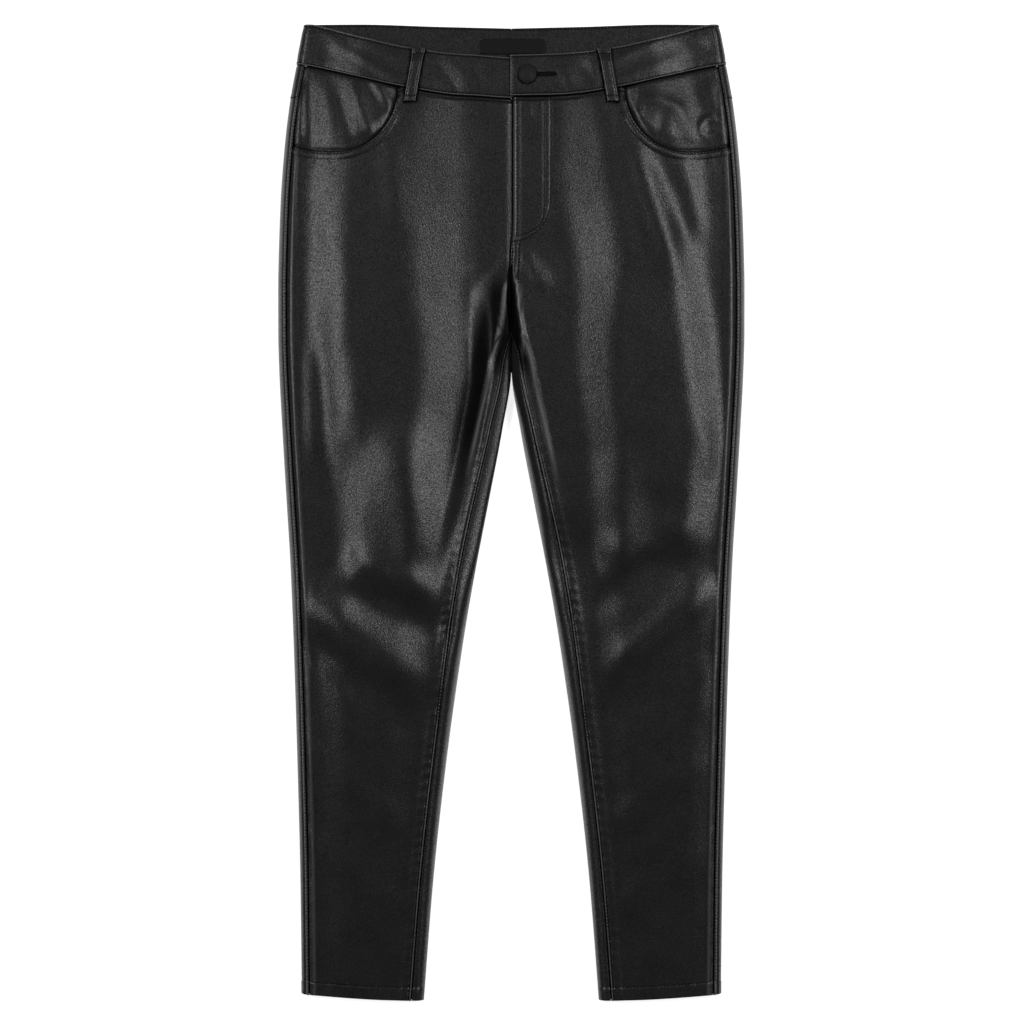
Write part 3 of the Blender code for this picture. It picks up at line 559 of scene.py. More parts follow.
    def leg_wall(self, half: Array, down: Array) -> Array:
        """Thickness of a leg panel's leather: two layers in the turned hem."""
        up = self.hem_edge(half) - down
        hem = fade(up, self.sizes.hem_deep, 1.5) * (up < 40)
        return mix(self.sizes.panel_wall, self.sizes.hem_wall, hem)

    def pocket_point(self, angle: Array, grow: float = 0.0) -> tuple[Array, Array]:
        """(half, down) on the pocket's scoop, from 0 at the band to a quarter turn at its lowest."""
        sizes = self.sizes
        half = sizes.pocket_low - (sizes.pocket_low - sizes.pocket_start + grow) * np.cos(angle)
        return half, sizes.pocket_top + (sizes.pocket_deep + grow) * np.sin(angle)

    def pocket_foot(self, half: Array, grow: float = 0.0) -> Array:
        """down of the pocket's edge past its lowest point, where it rises again to the side seam."""
        sizes = self.sizes
        share = np.maximum(half - sizes.pocket_low, 0.0) / (sizes.pocket_end - sizes.pocket_low)
        return sizes.pocket_top + sizes.pocket_deep + grow - sizes.pocket_rise * share**2

    def off_pocket(self, half: Array, down: Array) -> Array:
        """Distance from the pocket's edge, positive on the front panel and negative on the facing."""
        sizes = self.sizes
        wide, deep = sizes.pocket_low - sizes.pocket_start, sizes.pocket_deep
        off_half = np.minimum(half - sizes.pocket_low, 0.0)
        off_down = np.maximum(down - sizes.pocket_top, 0.0)
        share = np.hypot(off_half / wide, off_down / deep)
        scoop = np.hypot(off_half, off_down) * (1 - 1 / np.maximum(share, 1e-3))
        return np.where(half > sizes.pocket_low, down - self.pocket_foot(half), scoop)


FORM = LaidForm(SIZES)


# ---------------------------------------------------------------- grids, walls and pieces


def crowded(insets: Sequence[float], middle: int) -> tuple[Array, Array]:
    """Places that crowd at both ends of a stretch.

    Args:
        insets: distances in from an end, rising from 0. Between the last ones the places are even.
        middle: how many even steps there are between them.

    Returns:
        For each place its share of the even stretch, and its lead, a distance that is then taken off.
    """
    inset = np.array(insets, dtype=float)
    lead = inset[-1] - inset[:-1]
    share = np.concatenate((np.zeros(len(lead)), np.linspace(0, 1, middle + 1), np.ones(len(lead))))
    return share, np.concatenate((lead, np.zeros(middle + 1), -lead[::-1]))


SEAM_INSETS = (
    0, 0.25, 0.5, 0.8, 1.2, 1.6, 2.0, 2.4, 2.8, 3.3, 4.0, 5.0, 6.2, 7.5, 9.0, 11.0, 13.5, 17.0
)
SMOOTH_BELOW = 50


class Patchwork:
    """A closed wall over joined grids, whose every point has an outer and an inner place."""

    def __init__(self, side: Side) -> None:
        """Starts an empty wall on one side of the garment."""
        self.side = side
        self.outer: list[Array] = []
        self.inner: list[Array] = []
        self.quads: list[Array] = []
        self.painted_shades_and_highlights: list[Array] = []
        self.count = 0

    def add(
        self, outer: Array, inner: Array, shared: Array | None = None, painted_shade_and_highlight: Array | float = 0.0
    ) -> Array:
        """Adds a grid whose rows go up the garment and whose columns go round it.

        Args:
            outer: the outer points, rows by columns by three.
            inner: the inner points.
            shared: numbers of points of an earlier grid, which are this grid's first row.
            painted_shade_and_highlight: painted shade at each point, from 0 to 1, deepest in the seams, or a
                painted highlight, down to -1.

        Returns:
            The numbers of the grid's points.
        """
        rows, columns = outer.shape[:2]
        start = 0 if shared is None else 1
        numbers = np.empty((rows, columns), dtype=int)
        if shared is not None:
            numbers[0] = shared
        fresh = (rows - start) * columns
        numbers[start:] = self.count + np.arange(fresh).reshape(-1, columns)
        self.count += fresh
        self.outer.append(outer[start:].reshape(-1, 3))
        self.inner.append(inner[start:].reshape(-1, 3))
        self.painted_shades_and_highlights.append(np.broadcast_to(painted_shade_and_highlight, (rows, columns))[start:].reshape(-1))
        corners = (numbers[:-1, :-1], numbers[:-1, 1:], numbers[1:, 1:], numbers[1:, :-1])
        quads = np.stack(corners, axis=-1).reshape(-1, 4)
        self.quads.append(quads if self.side is Side.LEFT else quads[:, ::-1])
        return numbers

    def piece(self, name: str, finish: bpy.types.Material, node: str) -> bpy.types.Object:
        """Makes the wall a piece of the garment.

        Args:
            name: the piece's name.
            finish: its material.
            node: the node of the frame that it stands for.

        Returns:
            The piece's object.
        """
        return add_piece(name, self.mesh(name), finish, [node])

    def mesh(self, name: str) -> bpy.types.Mesh:
        """Makes the mesh, its rim closed between the outer and the inner points."""
        quads = np.concatenate(self.quads)
        edges = np.stack((quads, np.roll(quads, -1, axis=1)), axis=-1).reshape(-1, 2)
        forward = edges[:, 0] * self.count + edges[:, 1]
        backward = edges[:, 1] * self.count + edges[:, 0]
        start, end = edges[~np.isin(forward, backward)].T
        rim = np.stack((end, start, start + self.count, end + self.count), axis=-1)
        faces = np.concatenate((quads, quads[:, ::-1] + self.count, rim))
        points = np.concatenate(self.outer + self.inner) * MM
        made = bpy.data.meshes.new(name)
        made.from_pydata(points.tolist(), [], faces.tolist())
        # The painted shade and painted highlight of each point go on both walls as a point attribute.
        painted_shade_and_highlight = np.concatenate(self.painted_shades_and_highlights)
        depth = made.attributes.new("painted_shade_and_highlight", "FLOAT", "POINT")
        depth.data.foreach_set("value", np.concatenate((painted_shade_and_highlight, painted_shade_and_highlight)).astype(np.float32))
        return made


def deselect() -> None:
    """Leaves nothing selected."""
    for thing in bpy.context.selected_objects:
        thing.select_set(False)


def add_piece(
    name: str,
    mesh: bpy.types.Mesh,
    finish: bpy.types.Material,
    replaced: Sequence[str] = (),
) -> bpy.types.Object:
    """Adds a piece of the garment.

    Args:
        name: the piece's name.
        mesh: its mesh, in metres, in the frame.
        finish: its material.
        replaced: the nodes of the frame that it stands for.

    Returns:
        The piece's object.
    """
    made = bpy.data.objects.new(name, mesh)
    bpy.context.scene.collection.objects.link(made)
    mesh.materials.clear()
    mesh.materials.append(finish)
    deselect()
    made.select_set(True)
    bpy.context.view_layer.objects.active = made
    bpy.ops.object.shade_smooth_by_angle(angle=math.radians(SMOOTH_BELOW))
    return dress(made, replaced)


def dress(made: bpy.types.Object, replaced: Sequence[str]) -> bpy.types.Object:
    """Says what a piece rides on and stands for, and reports it."""
    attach(made, "root")
    if replaced:
        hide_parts(*replaced)
    corners = np.array([corner[:] for corner in made.bound_box]) / MM
    log.info(
        "%s: %d faces, %s mm", made.name, len(made.data.polygons), np.ptp(corners, axis=0).round(1)
    )
    return made


# ---------------------------------------------------------------- finishes


class Nodes:
    """A material's shader, built by adding nodes to it. usual is where most of a noise's values lie."""

    usual: Point = (0.3, 0.7)

    def __init__(self, name: str) -> None:
        """Starts a material with a Principled shader."""
        self.material = bpy.data.materials.new(name)
        self.material.use_nodes = True
        self.tree = self.material.node_tree
        self.shader = self.tree.nodes["Principled BSDF"]
        self.spot = self.add("ShaderNodeTexCoord").outputs["Object"]

    def add(self, kind: str, **values: object) -> bpy.types.Node:
        """Adds a node.

        Args:
            kind: its type.
            values: its properties, and its inputs' values or the sockets that feed them, by name with
                underscores for spaces. Inputs that share a name are given by number, as in_0.

        Returns:
            The node.
        """
        node = self.tree.nodes.new(kind)
        for key, value in values.items():
            if hasattr(node, key):
                setattr(node, key, value)
                continue
            number = key.removeprefix("in_")
            socket = node.inputs[int(number) if number.isdigit() else key.replace("_", " ")]
            if isinstance(value, bpy.types.NodeSocket):
                self.tree.links.new(value, socket)
            else:
                socket.default_value = value
        return node

    def set(self, **values: object) -> None:
        """Sets the shader's inputs, by name with underscores for spaces."""
        for key, value in values.items():
            self.shader.inputs[key.replace("_", " ")].default_value = value

    def noise(self, size: float, detail: float = 2.0, roughness: float = 0.5) -> bpy.types.NodeSocket:
        """Noise whose lumps are about size millimetres across."""
        scale = 1 / (size * MM)
        made = self.add(
            "ShaderNodeTexNoise", Vector=self.spot, Scale=scale, Detail=detail, Roughness=roughness
        )
        return made.outputs["Fac"]

    def cells(self, size: float, softness: float) -> bpy.types.NodeSocket:
        """Distance from the middle of soft-edged cells that are about size millimetres across."""
        made = self.add(
            "ShaderNodeTexVoronoi", feature="SMOOTH_F1", Vector=self.spot, Scale=1 / (size * MM)
        )
        made.inputs["Smoothness"].default_value = softness
        return made.outputs["Distance"]

    def times(self, a: bpy.types.NodeSocket, b: float) -> bpy.types.NodeSocket:
        """A value times a number."""
        return self.add("ShaderNodeMath", operation="MULTIPLY", in_0=a, in_1=b).outputs[0]

    def plus(self, a: bpy.types.NodeSocket, b: bpy.types.NodeSocket) -> bpy.types.NodeSocket:
        """The sum of two values."""
        return self.add("ShaderNodeMath", operation="ADD", in_0=a, in_1=b).outputs[0]

    def ranged(self, value: bpy.types.NodeSocket, low: float, high: float) -> bpy.types.NodeSocket:
        """Noise spread over a range."""
        start, end = self.usual
        made = self.add(
            "ShaderNodeMapRange", Value=value, From_Min=start, From_Max=end, To_Min=low, To_Max=high
        )
        return made.outputs["Result"]

    def bump(self, height: bpy.types.NodeSocket, depth: float = 1.0) -> None:
        """Bumps the shader by a height in millimetres, times a depth."""
        made = self.add("ShaderNodeBump", Height=height, Distance=depth * MM, Strength=1.0)
        self.tree.links.new(made.outputs["Normal"], self.shader.inputs["Normal"])

    def colour(self, fac: bpy.types.NodeSocket, low: Sequence[float], high: Sequence[float]) -> None:
        """Colours the shader between two colours."""
        ramp = self.add("ShaderNodeValToRGB", Fac=fac)
        for stop, place, shade in zip(ramp.color_ramp.elements, self.usual, (low, high)):
            stop.position, stop.color = place, (*shade, 1.0)
        self.tree.links.new(ramp.outputs["Color"], self.shader.inputs["Base Color"])

    def paint_shade_and_highlight(self, sheen: bpy.types.NodeSocket) -> None:
        """Sets the sheen, paints shade into the seams (darker, less sheen) and paints highlights on edges
        (lighter).
        """
        # The attribute holds painted shade where it is positive and painted highlight where it is negative.
        depth = self.add("ShaderNodeAttribute", attribute_name="painted_shade_and_highlight").outputs["Fac"]
        sheen = self.add("ShaderNodeMapRange", Value=depth, To_Min=sheen, To_Max=0.03)
        self.tree.links.new(sheen.outputs["Result"], self.shader.inputs["Specular IOR Level"])
        plain = self.shader.inputs["Base Color"].links[0].from_socket
        # Painted highlight: negative values of the attribute lighten the colour.
        painted_highlight = self.add("ShaderNodeMapRange", Value=depth, From_Max=-1.0).outputs["Result"]
        # First the painted highlight lightens toward grey, then the painted shade darkens toward black.
        for share, shade in ((painted_highlight, 0.15), (depth, 0.002)):
            mixed = self.add("ShaderNodeMix", data_type="RGBA", Factor=share)
            self.tree.links.new(plain, mixed.inputs[6])
            mixed.inputs[7].default_value = (shade, shade, shade, 1.0)
            plain = mixed.outputs[2]
        self.tree.links.new(plain, self.shader.inputs["Base Color"])

    def rough(self, value: bpy.types.NodeSocket) -> None:
        """Sets the shader's roughness from a value."""
        self.tree.links.new(value, self.shader.inputs["Roughness"])


@dataclass(frozen=True)
class LeatherFinish:
    """Black coated leather with a fine pebbled grain."""

    name: str
    dark: tuple[float, float, float] = (0.013, 0.013, 0.0135)
    light: tuple[float, float, float] = (0.018, 0.018, 0.0185)
    rough_low: float = 0.29
    rough_high: float = 0.35
    pebble: float = 1.5
    pebble_depth: float = 0.12
    fine: float = 1.0
    fine_depth: float = 0.085
    speckle: tuple[float, float] = (0.1, 0.92)
    wrinkle: float = 7.0
    wrinkle_depth: float = 0.03

    def material(self) -> bpy.types.Material:
        """Builds the material."""
        nodes = Nodes(self.name)
        nodes.colour(nodes.noise(24.0, 3.0), self.dark, self.light)
        # Speckled sheen, with painted shade and painted highlight from the mesh's attribute on top.
        nodes.paint_shade_and_highlight(nodes.ranged(nodes.noise(1.5 * self.fine, 2.0, 0.75), *self.speckle))
        nodes.rough(nodes.ranged(nodes.noise(5.0, 4.0, 0.6), self.rough_low, self.rough_high))
        pebbles = nodes.times(nodes.cells(self.pebble, 0.6), -self.pebble_depth)
        fine = nodes.times(nodes.noise(self.fine, 2.0), self.fine_depth)
        wrinkles = nodes.times(nodes.noise(self.wrinkle, 2.0), self.wrinkle_depth)
        nodes.bump(nodes.plus(nodes.plus(pebbles, fine), wrinkles))
        nodes.set(IOR=1.5)
        return nodes.material


@dataclass(frozen=True)
class ThreadFinish:
    """Twisted black sewing thread with a low sheen."""

    name: str = "thread"
    dark: tuple[float, float, float] = (0.002, 0.002, 0.002)
    light: tuple[float, float, float] = (0.006, 0.006, 0.006)
    roughness: float = 0.75
    sheen: float = 0.12

    def material(self) -> bpy.types.Material:
        """Builds the material."""
        nodes = Nodes(self.name)
        nodes.colour(nodes.noise(0.8), self.dark, self.light)
        nodes.bump(nodes.noise(0.25), 0.05)
        nodes.set(Roughness=self.roughness, Specular_IOR_Level=self.sheen)
        return nodes.material


@dataclass(frozen=True)
class SatinFinish:
    """Black satin ribbon, its threads running across the label."""

    name: str = "label_satin"
    dark: tuple[float, float, float] = (0.0015, 0.0015, 0.0018)
    light: tuple[float, float, float] = (0.003, 0.003, 0.0035)
    roughness: float = 0.6
    sheen: float = 0.25
    thread: float = 0.5

    def material(self) -> bpy.types.Material:
        """Builds the material."""
        nodes = Nodes(self.name)
        waves = [
            nodes.add(
                "ShaderNodeTexWave",
                bands_direction=axis,
                Vector=nodes.spot,
                Scale=scale / (self.thread * MM) / 20,
                Distortion=0.6,
            ).outputs["Fac"]
            for axis, scale in (("X", 1.0), ("Y", 2.0))
        ]
        nodes.bump(nodes.plus(*waves), 0.03)
        nodes.colour(nodes.noise(3.0), self.dark, self.light)
        nodes.set(Roughness=self.roughness, Specular_IOR_Level=self.sheen)
        return nodes.material


@dataclass(frozen=True)
class FloorFinish:
    """Plain matt white paper."""

    name: str = "floor_paper"
    shade: float = 0.9
    glow: float = 0.8

    def material(self) -> bpy.types.Material:
        """Builds the material."""
        nodes = Nodes(self.name)
        nodes.colour(nodes.noise(300.0), (self.shade,) * 3, (self.shade + 0.01,) * 3)
        nodes.set(Roughness=1.0, Specular_IOR_Level=0.0)
        nodes.set(Emission_Color=(1.0,) * 4, Emission_Strength=self.glow)
        return nodes.material


class Finishes:
    """The finishes, each made once."""

    def __init__(self) -> None:
        """Makes the materials."""
        self.leather = LeatherFinish("leather").material()
        self.inside = LeatherFinish(
            "leather_inside", rough_low=0.5, rough_high=0.6, pebble_depth=0.04, wrinkle_depth=0.06
        ).material()
        self.button = LeatherFinish(
            "button_leather",
            dark=(0.009,) * 3,
            light=(0.012,) * 3,
            rough_low=0.55,
            rough_high=0.62,
            pebble_depth=0.02,
            fine_depth=0.02,
            speckle=(0.2, 0.4),
        ).material()
        self.thread = ThreadFinish().material()
        self.satin = SatinFinish().material()
        self.floor = FloorFinish().material()


# ---------------------------------------------------------------- stitching


@dataclass(frozen=True)
class Stitch:
    """One lockstitch, and how far apart they are sewn."""

    pitch: float = 3.4
    length: float = 2.2
    thick: float = 1.15
    sides: int = 6

    def shape(self) -> tuple[Array, Array]:
        """Models one stitch along X, fat in the middle and pointed at both ends.

        Returns:
            Its points in millimetres, and its faces, padded with -1 where they have three corners.
        """
        deselect()
        bpy.ops.mesh.primitive_uv_sphere_add(segments=self.sides, ring_count=4, radius=0.5)
        ball = bpy.context.object
        bpy.ops.object.mode_set(mode="EDIT")
        bpy.ops.mesh.select_all(action="SELECT")
        bpy.ops.transform.rotate(value=QUARTER, orient_axis="Y", center_override=(0, 0, 0))
        bpy.ops.transform.resize(value=(self.length, self.thick, self.thick))
        bpy.ops.object.mode_set(mode="OBJECT")
        points = np.array([vert.co[:] for vert in ball.data.vertices])
        faces = np.array([(list(face.vertices) + [-1])[:4] for face in ball.data.polygons])
        mesh = ball.data
        bpy.data.objects.remove(ball)
        bpy.data.meshes.remove(mesh)
        return points, faces


@dataclass
class Seam:
    """A row of stitches along a path on one side of the garment."""

    side: Side
    down: Array
    ring: Array
    out: Array | float = 0.0
    stitch: Stitch = field(default_factory=Stitch)


def on_front(side: Side, half: Array, down: Array, out: Array | float = 0.0) -> Seam:
    """A row of stitches along (half, down) points of the front."""
    half, down = np.broadcast_arrays(np.asarray(half, dtype=float), np.asarray(down, dtype=float))
    return Seam(side, down, FORM.front_ring(down, half), out)


class Sewing:
    """Sews rows of stitches into one mesh each time."""

    def __init__(self, finish: bpy.types.Material) -> None:
        """Keeps the finish; each kind of stitch is modelled once, when it is first sewn."""
        self.finish = finish
        self.shapes: dict[Stitch, tuple[Array, Array]] = {}

    def _along(self, seam: Seam) -> tuple[Array, Array, Array]:
        """Middles, directions and normals of the stitches of a row."""
        line = FORM.place(seam.side, seam.down, seam.ring, seam.out)
        above = FORM.place(seam.side, seam.down, seam.ring, np.asarray(seam.out) + 1.0)
        lengths = np.linalg.norm(np.diff(line, axis=0), axis=1)
        travelled = np.concatenate(([0.0], np.cumsum(lengths)))
        count = max(int(travelled[-1] / seam.stitch.pitch), 1)
        middles = (np.arange(count) + 0.5) * travelled[-1] / count
        reach = seam.stitch.length / 2

        def read(values: Array, at: Array) -> Array:
            return np.stack([np.interp(at, travelled, values[:, i]) for i in range(3)], axis=-1)

        direction = read(line, middles + reach) - read(line, middles - reach)
        return read(line, middles), direction, read(above - line, middles)

    def sew(self, name: str, seams: Sequence[Seam], across: bool = False) -> bpy.types.Object:
        """Sews rows into one piece.

        Args:
            name: the piece's name.
            seams: the rows.
            across: whether each stitch lies across its row and not along it.

        Returns:
            The piece.
        """
        points, faces, count = [], [], 0
        for seam in seams:
            if seam.stitch not in self.shapes:
                self.shapes[seam.stitch] = seam.stitch.shape()
            shape, shape_faces = self.shapes[seam.stitch]
            middle, along, normal = self._along(seam)
            along /= np.linalg.norm(along, axis=1, keepdims=True)
            beside = np.cross(normal, along)
            beside /= np.linalg.norm(beside, axis=1, keepdims=True)
            up = np.cross(along, beside)
            if across:
                along, beside = beside, -along
            turned = np.einsum("vi,isk->svk", shape, np.stack((along, beside, up)))
            points.append((middle[:, None] + turned).reshape(-1, 3))
            offsets = count + np.arange(len(middle)) * len(shape)
            copies = np.where(shape_faces < 0, -1, shape_faces + offsets[:, None, None])
            faces += [[v for v in face if v >= 0] for face in copies.reshape(-1, 4).tolist()]
            count += len(middle) * len(shape)
        mesh = bpy.data.meshes.new(name)
        mesh.from_pydata((np.concatenate(points) * MM).tolist(), [], faces)
        return add_piece(name, mesh, self.finish)


# ---------------------------------------------------------------- unevenness


class Unevenness:
    """Smooth random lumps over the cloth, the same each time."""

    def __init__(self, size: float, seed: int) -> None:
        """Fills a lattice whose cells are size millimetres across."""
        self.size = size
        self.values = np.random.default_rng(seed).uniform(-1, 1, (64, 64))

    def __call__(self, x: Array, down: Array) -> Array:
        """The lumps' height, from -1 to 1, at points of the garment."""
        u, v = np.asarray(x) / self.size + 20, np.asarray(down) / self.size + 3
        column, row = np.floor(u).astype(int), np.floor(v).astype(int)
        s, t = smooth(u - column), smooth(v - row)
        at = [self.values[(row + i) % 64, (column + j) % 64] for i in (0, 1) for j in (0, 1)]
        return mix(mix(at[0], at[1], s), mix(at[2], at[3], s), t)


# ---------------------------------------------------------------- front panels


class Fly(NamedTuple):
    """A row of the fly's stitching: straight down, then a quarter ellipse to the centre."""

    centre_x: float
    centre_down: float
    reach_x: float
    reach_down: float

    def distance(self, x: Array, down: Array) -> Array:
        """Distance of points from the row."""
        off_x = np.maximum(x - self.centre_x, 0.0) / self.reach_x
        off_down = np.maximum(down - self.centre_down, 0.0) / self.reach_down
        share = np.maximum(np.hypot(off_x, off_down), 1e-3)
        ray = np.hypot(off_x * self.reach_x, off_down * self.reach_down)
        curved = ray * (1 - 1 / share)
        return np.where(down < self.centre_down, x - self.centre_x - self.reach_x, curved)

    def path(self, top: float) -> tuple[Array, Array]:
        """(X, down) points of the row from its top."""
        turn = np.linspace(0, QUARTER, 40)
        x = self.centre_x + self.reach_x * np.concatenate(([1.0], np.cos(turn)))
        return x, np.concatenate(([top], self.centre_down + self.reach_down * np.sin(turn)))


CREST = Curve(
    (
        (250, 4.0),
        (263, 5.8),
        (285, 8.2),
        (307, 12.0),
        (342, 20.8),
        (379, 28.6),
        (405, 33.6),
        (480, 50.0),
    )
)
FLY_ROWS = (Fly(1.65, 189.5, 30.8, 24.0), Fly(0.25, 176.5, 38.5, 42.8))

SMALL_CREASES = (
    Crease(-121, 110, -115, 200, 12, 1.0),
    Crease(-186, 136, -178, 230, 13, 0.8),
    Crease(-200, 325, -196, 425, 8, 1.5),
    Crease(-216, 150, -214, 420, 3.5, 0.7),
    Crease(-178, 300, -166, 440, 9, 0.7),
    Crease(172, 140, 190, 215, 9, 1.0),
    Crease(216, 150, 214, 420, 3.5, 0.7),
    Crease(190, 400, 196, 450, 8, 0.7),
    Crease(18, 80, 18, 96, 4, 0.4),
    Crease(-120, 640, -60, 690, 12, -0.8),
    Crease(-190, 640, -160, 680, 10, 0.8),
    Crease(130, 640, 78, 700, 12, -0.8),
    Crease(196, 640, 188, 690, 10, 0.7),
)


# How far down the fly and the crest beside the crotch start, end and fade.
FLY_FOOT = 226.0
FLY_FADES = 10.0
CREST_STARTS = 256.0
CREST_ENDS = 410.0
CREST_FADES = 60.0

# How far in from their edges the rows, ridges and grooves of the panels lie. FAR is off all of them.
HEM_STITCH = 13.4
HEM_SETTLES = 60.0
POCKET_ROWS = (2.3, 8.0)
INSEAM_LIP = 1.2
INSEAM_GROOVE = 2.9
SIDE_RIDGE = 5.4
BAND_GROOVE = 3.8
FAR = 99.0

# The pocket's edge is looked for from this distance off the centre line.
POCKET_FROM = 95.0


def leg_rows(
    insets: Sequence[float], stops: Sequence[tuple[float, float]], rings: Callable[[Array], Array]
) -> Array:
    """down of a leg panel's rows, which follow the hem's edge at their foot and settle to level above.

    Args:
        insets: how far up from the hem's edge the lowest rows are.
        stops: where each stretch of even rows above them ends, and the step between its rows.
        rings: gives the ring place of each column at a distance down.

    Returns:
        down of each row at each column.
    """
    ring = rings(np.full(1, SIZES.hem_outer))
    edge = FORM.hem_edge(np.abs(FORM.skin(Side.LEFT, SIZES.hem_outer, ring)[..., 0]))
    middle = (SIZES.hem_outer + SIZES.hem_inner) / 2
    low = start = middle - insets[-1]
    rows = [middle - np.array(insets)]
    for high, step in stops:
        rows.append(np.linspace(low, high, round((low - high) / step) + 1)[1:])
        low = high
    nominal = np.concatenate(rows)
    follow = fade(start - nominal, 0.0, HEM_SETTLES)
    return nominal[:, None] + (edge - middle) * follow[:, None]


@dataclass
class FrontPanels:
    """Both front panels, from the waistband to the turned hem."""

    finishes: Finishes
    flat: Point = (0.236, 0.915)
    cut_area: float = 0.150
    fine_columns: int = 25
    middle_columns: int = 44
    row_step: float = 2.4
    fly_row_step: float = 1.0
    fly_foot: float = 224.0
    hem_insets: tuple[float, ...] = (
        0, 0.25, 0.5, 0.9, 1.4, 2.0, 3.0, 4.5, 6.5, 8.5, 10.5,
        11.8, 12.6, 13.1, 13.5, 13.9, 14.4, 15.2, 16.5, 18.5, 21.0,
    )
    thinnest: float = 0.5
    top_insets: tuple[float, ...] = (
        0, 0.3, 0.6, 1.0, 1.4, 1.8, 2.2, 2.6, 3.0, 3.6, 4.6, 6.0, 7.4, 8.2, 9.0, 11.0, 14.0, 17.0
    )
    top_step: float = 3.4
    fly_share: float = 0.14
    waist_share: float = 0.51
    scoop_share: float = 0.33
    lump_height: float = 0.16
    small_lump_height: float = 0.08
    lumps: Unevenness = field(default_factory=lambda: Unevenness(34.0, 7))
    small_lumps: Unevenness = field(default_factory=lambda: Unevenness(13.0, 11))

    def _columns(self) -> tuple[Array, Array]:
        """Shares and leads of the columns, which are fine as far as the fly's stitching."""
        share, lead = crowded(SEAM_INSETS, self.fine_columns + self.middle_columns)
        ends = len(SEAM_INSETS) - 1
        fine = np.linspace(0, self.fly_share, self.fine_columns + 1)
        plain = np.linspace(self.fly_share, 1, self.middle_columns + 1)
        share[ends:-ends] = np.concatenate((fine, plain[1:]))
        return share, lead

    def _rings(self, side: Side, down: Array) -> Array:
        """Ring place of each column at rows of down, whose last axis is the columns."""
        share, lead = self._columns()
        length = FORM.front_length(down)
        inner = FORM.front_ring(down, FORM.front_inner(side, down))
        outer = FORM.front_ring(down, FORM.side_seam(down) - SIZES.gap / 2)
        inset = SEAM_INSETS[-1]
        return mix(inner + inset / length, outer - inset / length, share) - lead / length

    def _leg_rows(self, side: Side) -> tuple[Array, Array]:
        """down and ring of the rows from the hem up to where the rows start to bend."""
        stops = ((self.fly_foot, self.row_step), (SIZES.upper_start, self.fly_row_step))
        down = leg_rows(self.hem_insets, stops, lambda at: self._rings(side, at))
        return down, self._rings(side, down)

    def _top_edge(self, side: Side) -> tuple[Array, Array]:
        """(half, down) of the panel's top edge at each column: the band, the scoop, then its foot."""
        share, lead = self._columns()
        inset = SEAM_INSETS[-1]
        start = float(FORM.front_inner(side, np.array(FRONT_BAND[0].seam)))
        corner = SIZES.pocket_start - 2 * SIZES.gap
        foot = SIZES.pocket_top + SIZES.pocket_deep - SIZES.pocket_rise
        end_ring = FORM.front_ring(foot, FORM.side_seam(np.array(foot)) - SIZES.gap / 2)
        outer_rings = end_ring + np.minimum(-lead - inset, 0.0) / FORM.front_length(foot)
        outer_half = np.abs(FORM.skin(Side.LEFT, foot, outer_rings)[..., 0])
        scoop_from, scoop_to = self.waist_share, self.waist_share + self.scoop_share
        last = np.abs(FORM.skin(Side.LEFT, foot, end_ring - inset / FORM.front_length(foot))[..., 0])
        along_band = mix(start + inset, corner, np.clip(share / scoop_from, 0, 1))
        along_band = along_band - np.maximum(lead, 0.0)
        turn = QUARTER * np.clip((share - scoop_from) / self.scoop_share, 0, 1)
        scoop_half, scoop_down = FORM.pocket_point(turn)
        foot_half = mix(SIZES.pocket_low, last, np.clip((share - scoop_to) / (1 - scoop_to), 0, 1))
        foot_half = np.where(share >= 1, np.where(lead < 0, outer_half, last), foot_half)
        seam = FORM.band_edge("seam", np.zeros(len(share)), along_band)
        seam = seam + FORM.band_drop(side, along_band) + SIZES.gap / 2
        on_band, on_scoop = share <= scoop_from, share <= scoop_to
        half = np.where(on_band, along_band, np.where(on_scoop, scoop_half, foot_half))
        down = np.where(on_band, seam, np.where(on_scoop, scoop_down, FORM.pocket_foot(foot_half)))
        return half, down

    def _upper_rows(self, side: Side) -> tuple[Array, Array]:
        """down and ring of the rows from the bend to the top edge."""
        top_half, top_down = self._top_edge(side)
        start = SIZES.upper_start
        low_ring = self._rings(side, np.full(1, start))
        low_half = side.value * FORM.skin(side, start, low_ring)[..., 0]
        insets = np.array(self.top_insets)
        longest = start - FRONT_BAND[0].seam
        count = round((longest - insets[-1]) / self.top_step)
        offsets = np.concatenate((insets[:-1], np.linspace(insets[-1], longest, count + 1)))[::-1]
        share = 1 - offsets[1:, None] / longest
        down = mix(start, top_down, share)
        return down, FORM.front_ring(down, mix(low_half, top_half, share))

    def _off_sides(self, side: Side, down: Array, ring: Array) -> tuple[Array, Array, Array]:
        """How far each point is from the centre line, from the side seam and from the inner seam."""
        row, length = FORM.section(down), FORM.front_length(down)
        half = FORM.across(row, ring, row.roll_in, row.roll_out)
        off_side = (FORM.front_ring(down, FORM.side_seam(down)) - ring) * length
        off_inner = (ring - FORM.front_ring(down, FORM.front_inner(side, down))) * length
        return half, off_side, off_inner

    def _off_tops(self, side: Side, half: Array, down: Array) -> tuple[Array, Array]:
        """How far each point is from the waistband and from the pocket's edge, where it is below."""
        seam = FORM.band_edge("seam", np.zeros(np.shape(half)), half) + FORM.band_drop(side, half)
        off_band = np.where(half < SIZES.pocket_start, down - seam, FAR)
        return off_band, np.where(half > POCKET_FROM, FORM.off_pocket(half, down), FAR)

    def _lumpy(self, x: Array, down: Array) -> Array:
        """The height of the soft lumps and the small creases."""
        return self.lump_height * self.lumps(x, down) + creased(SMALL_CREASES, x, down)

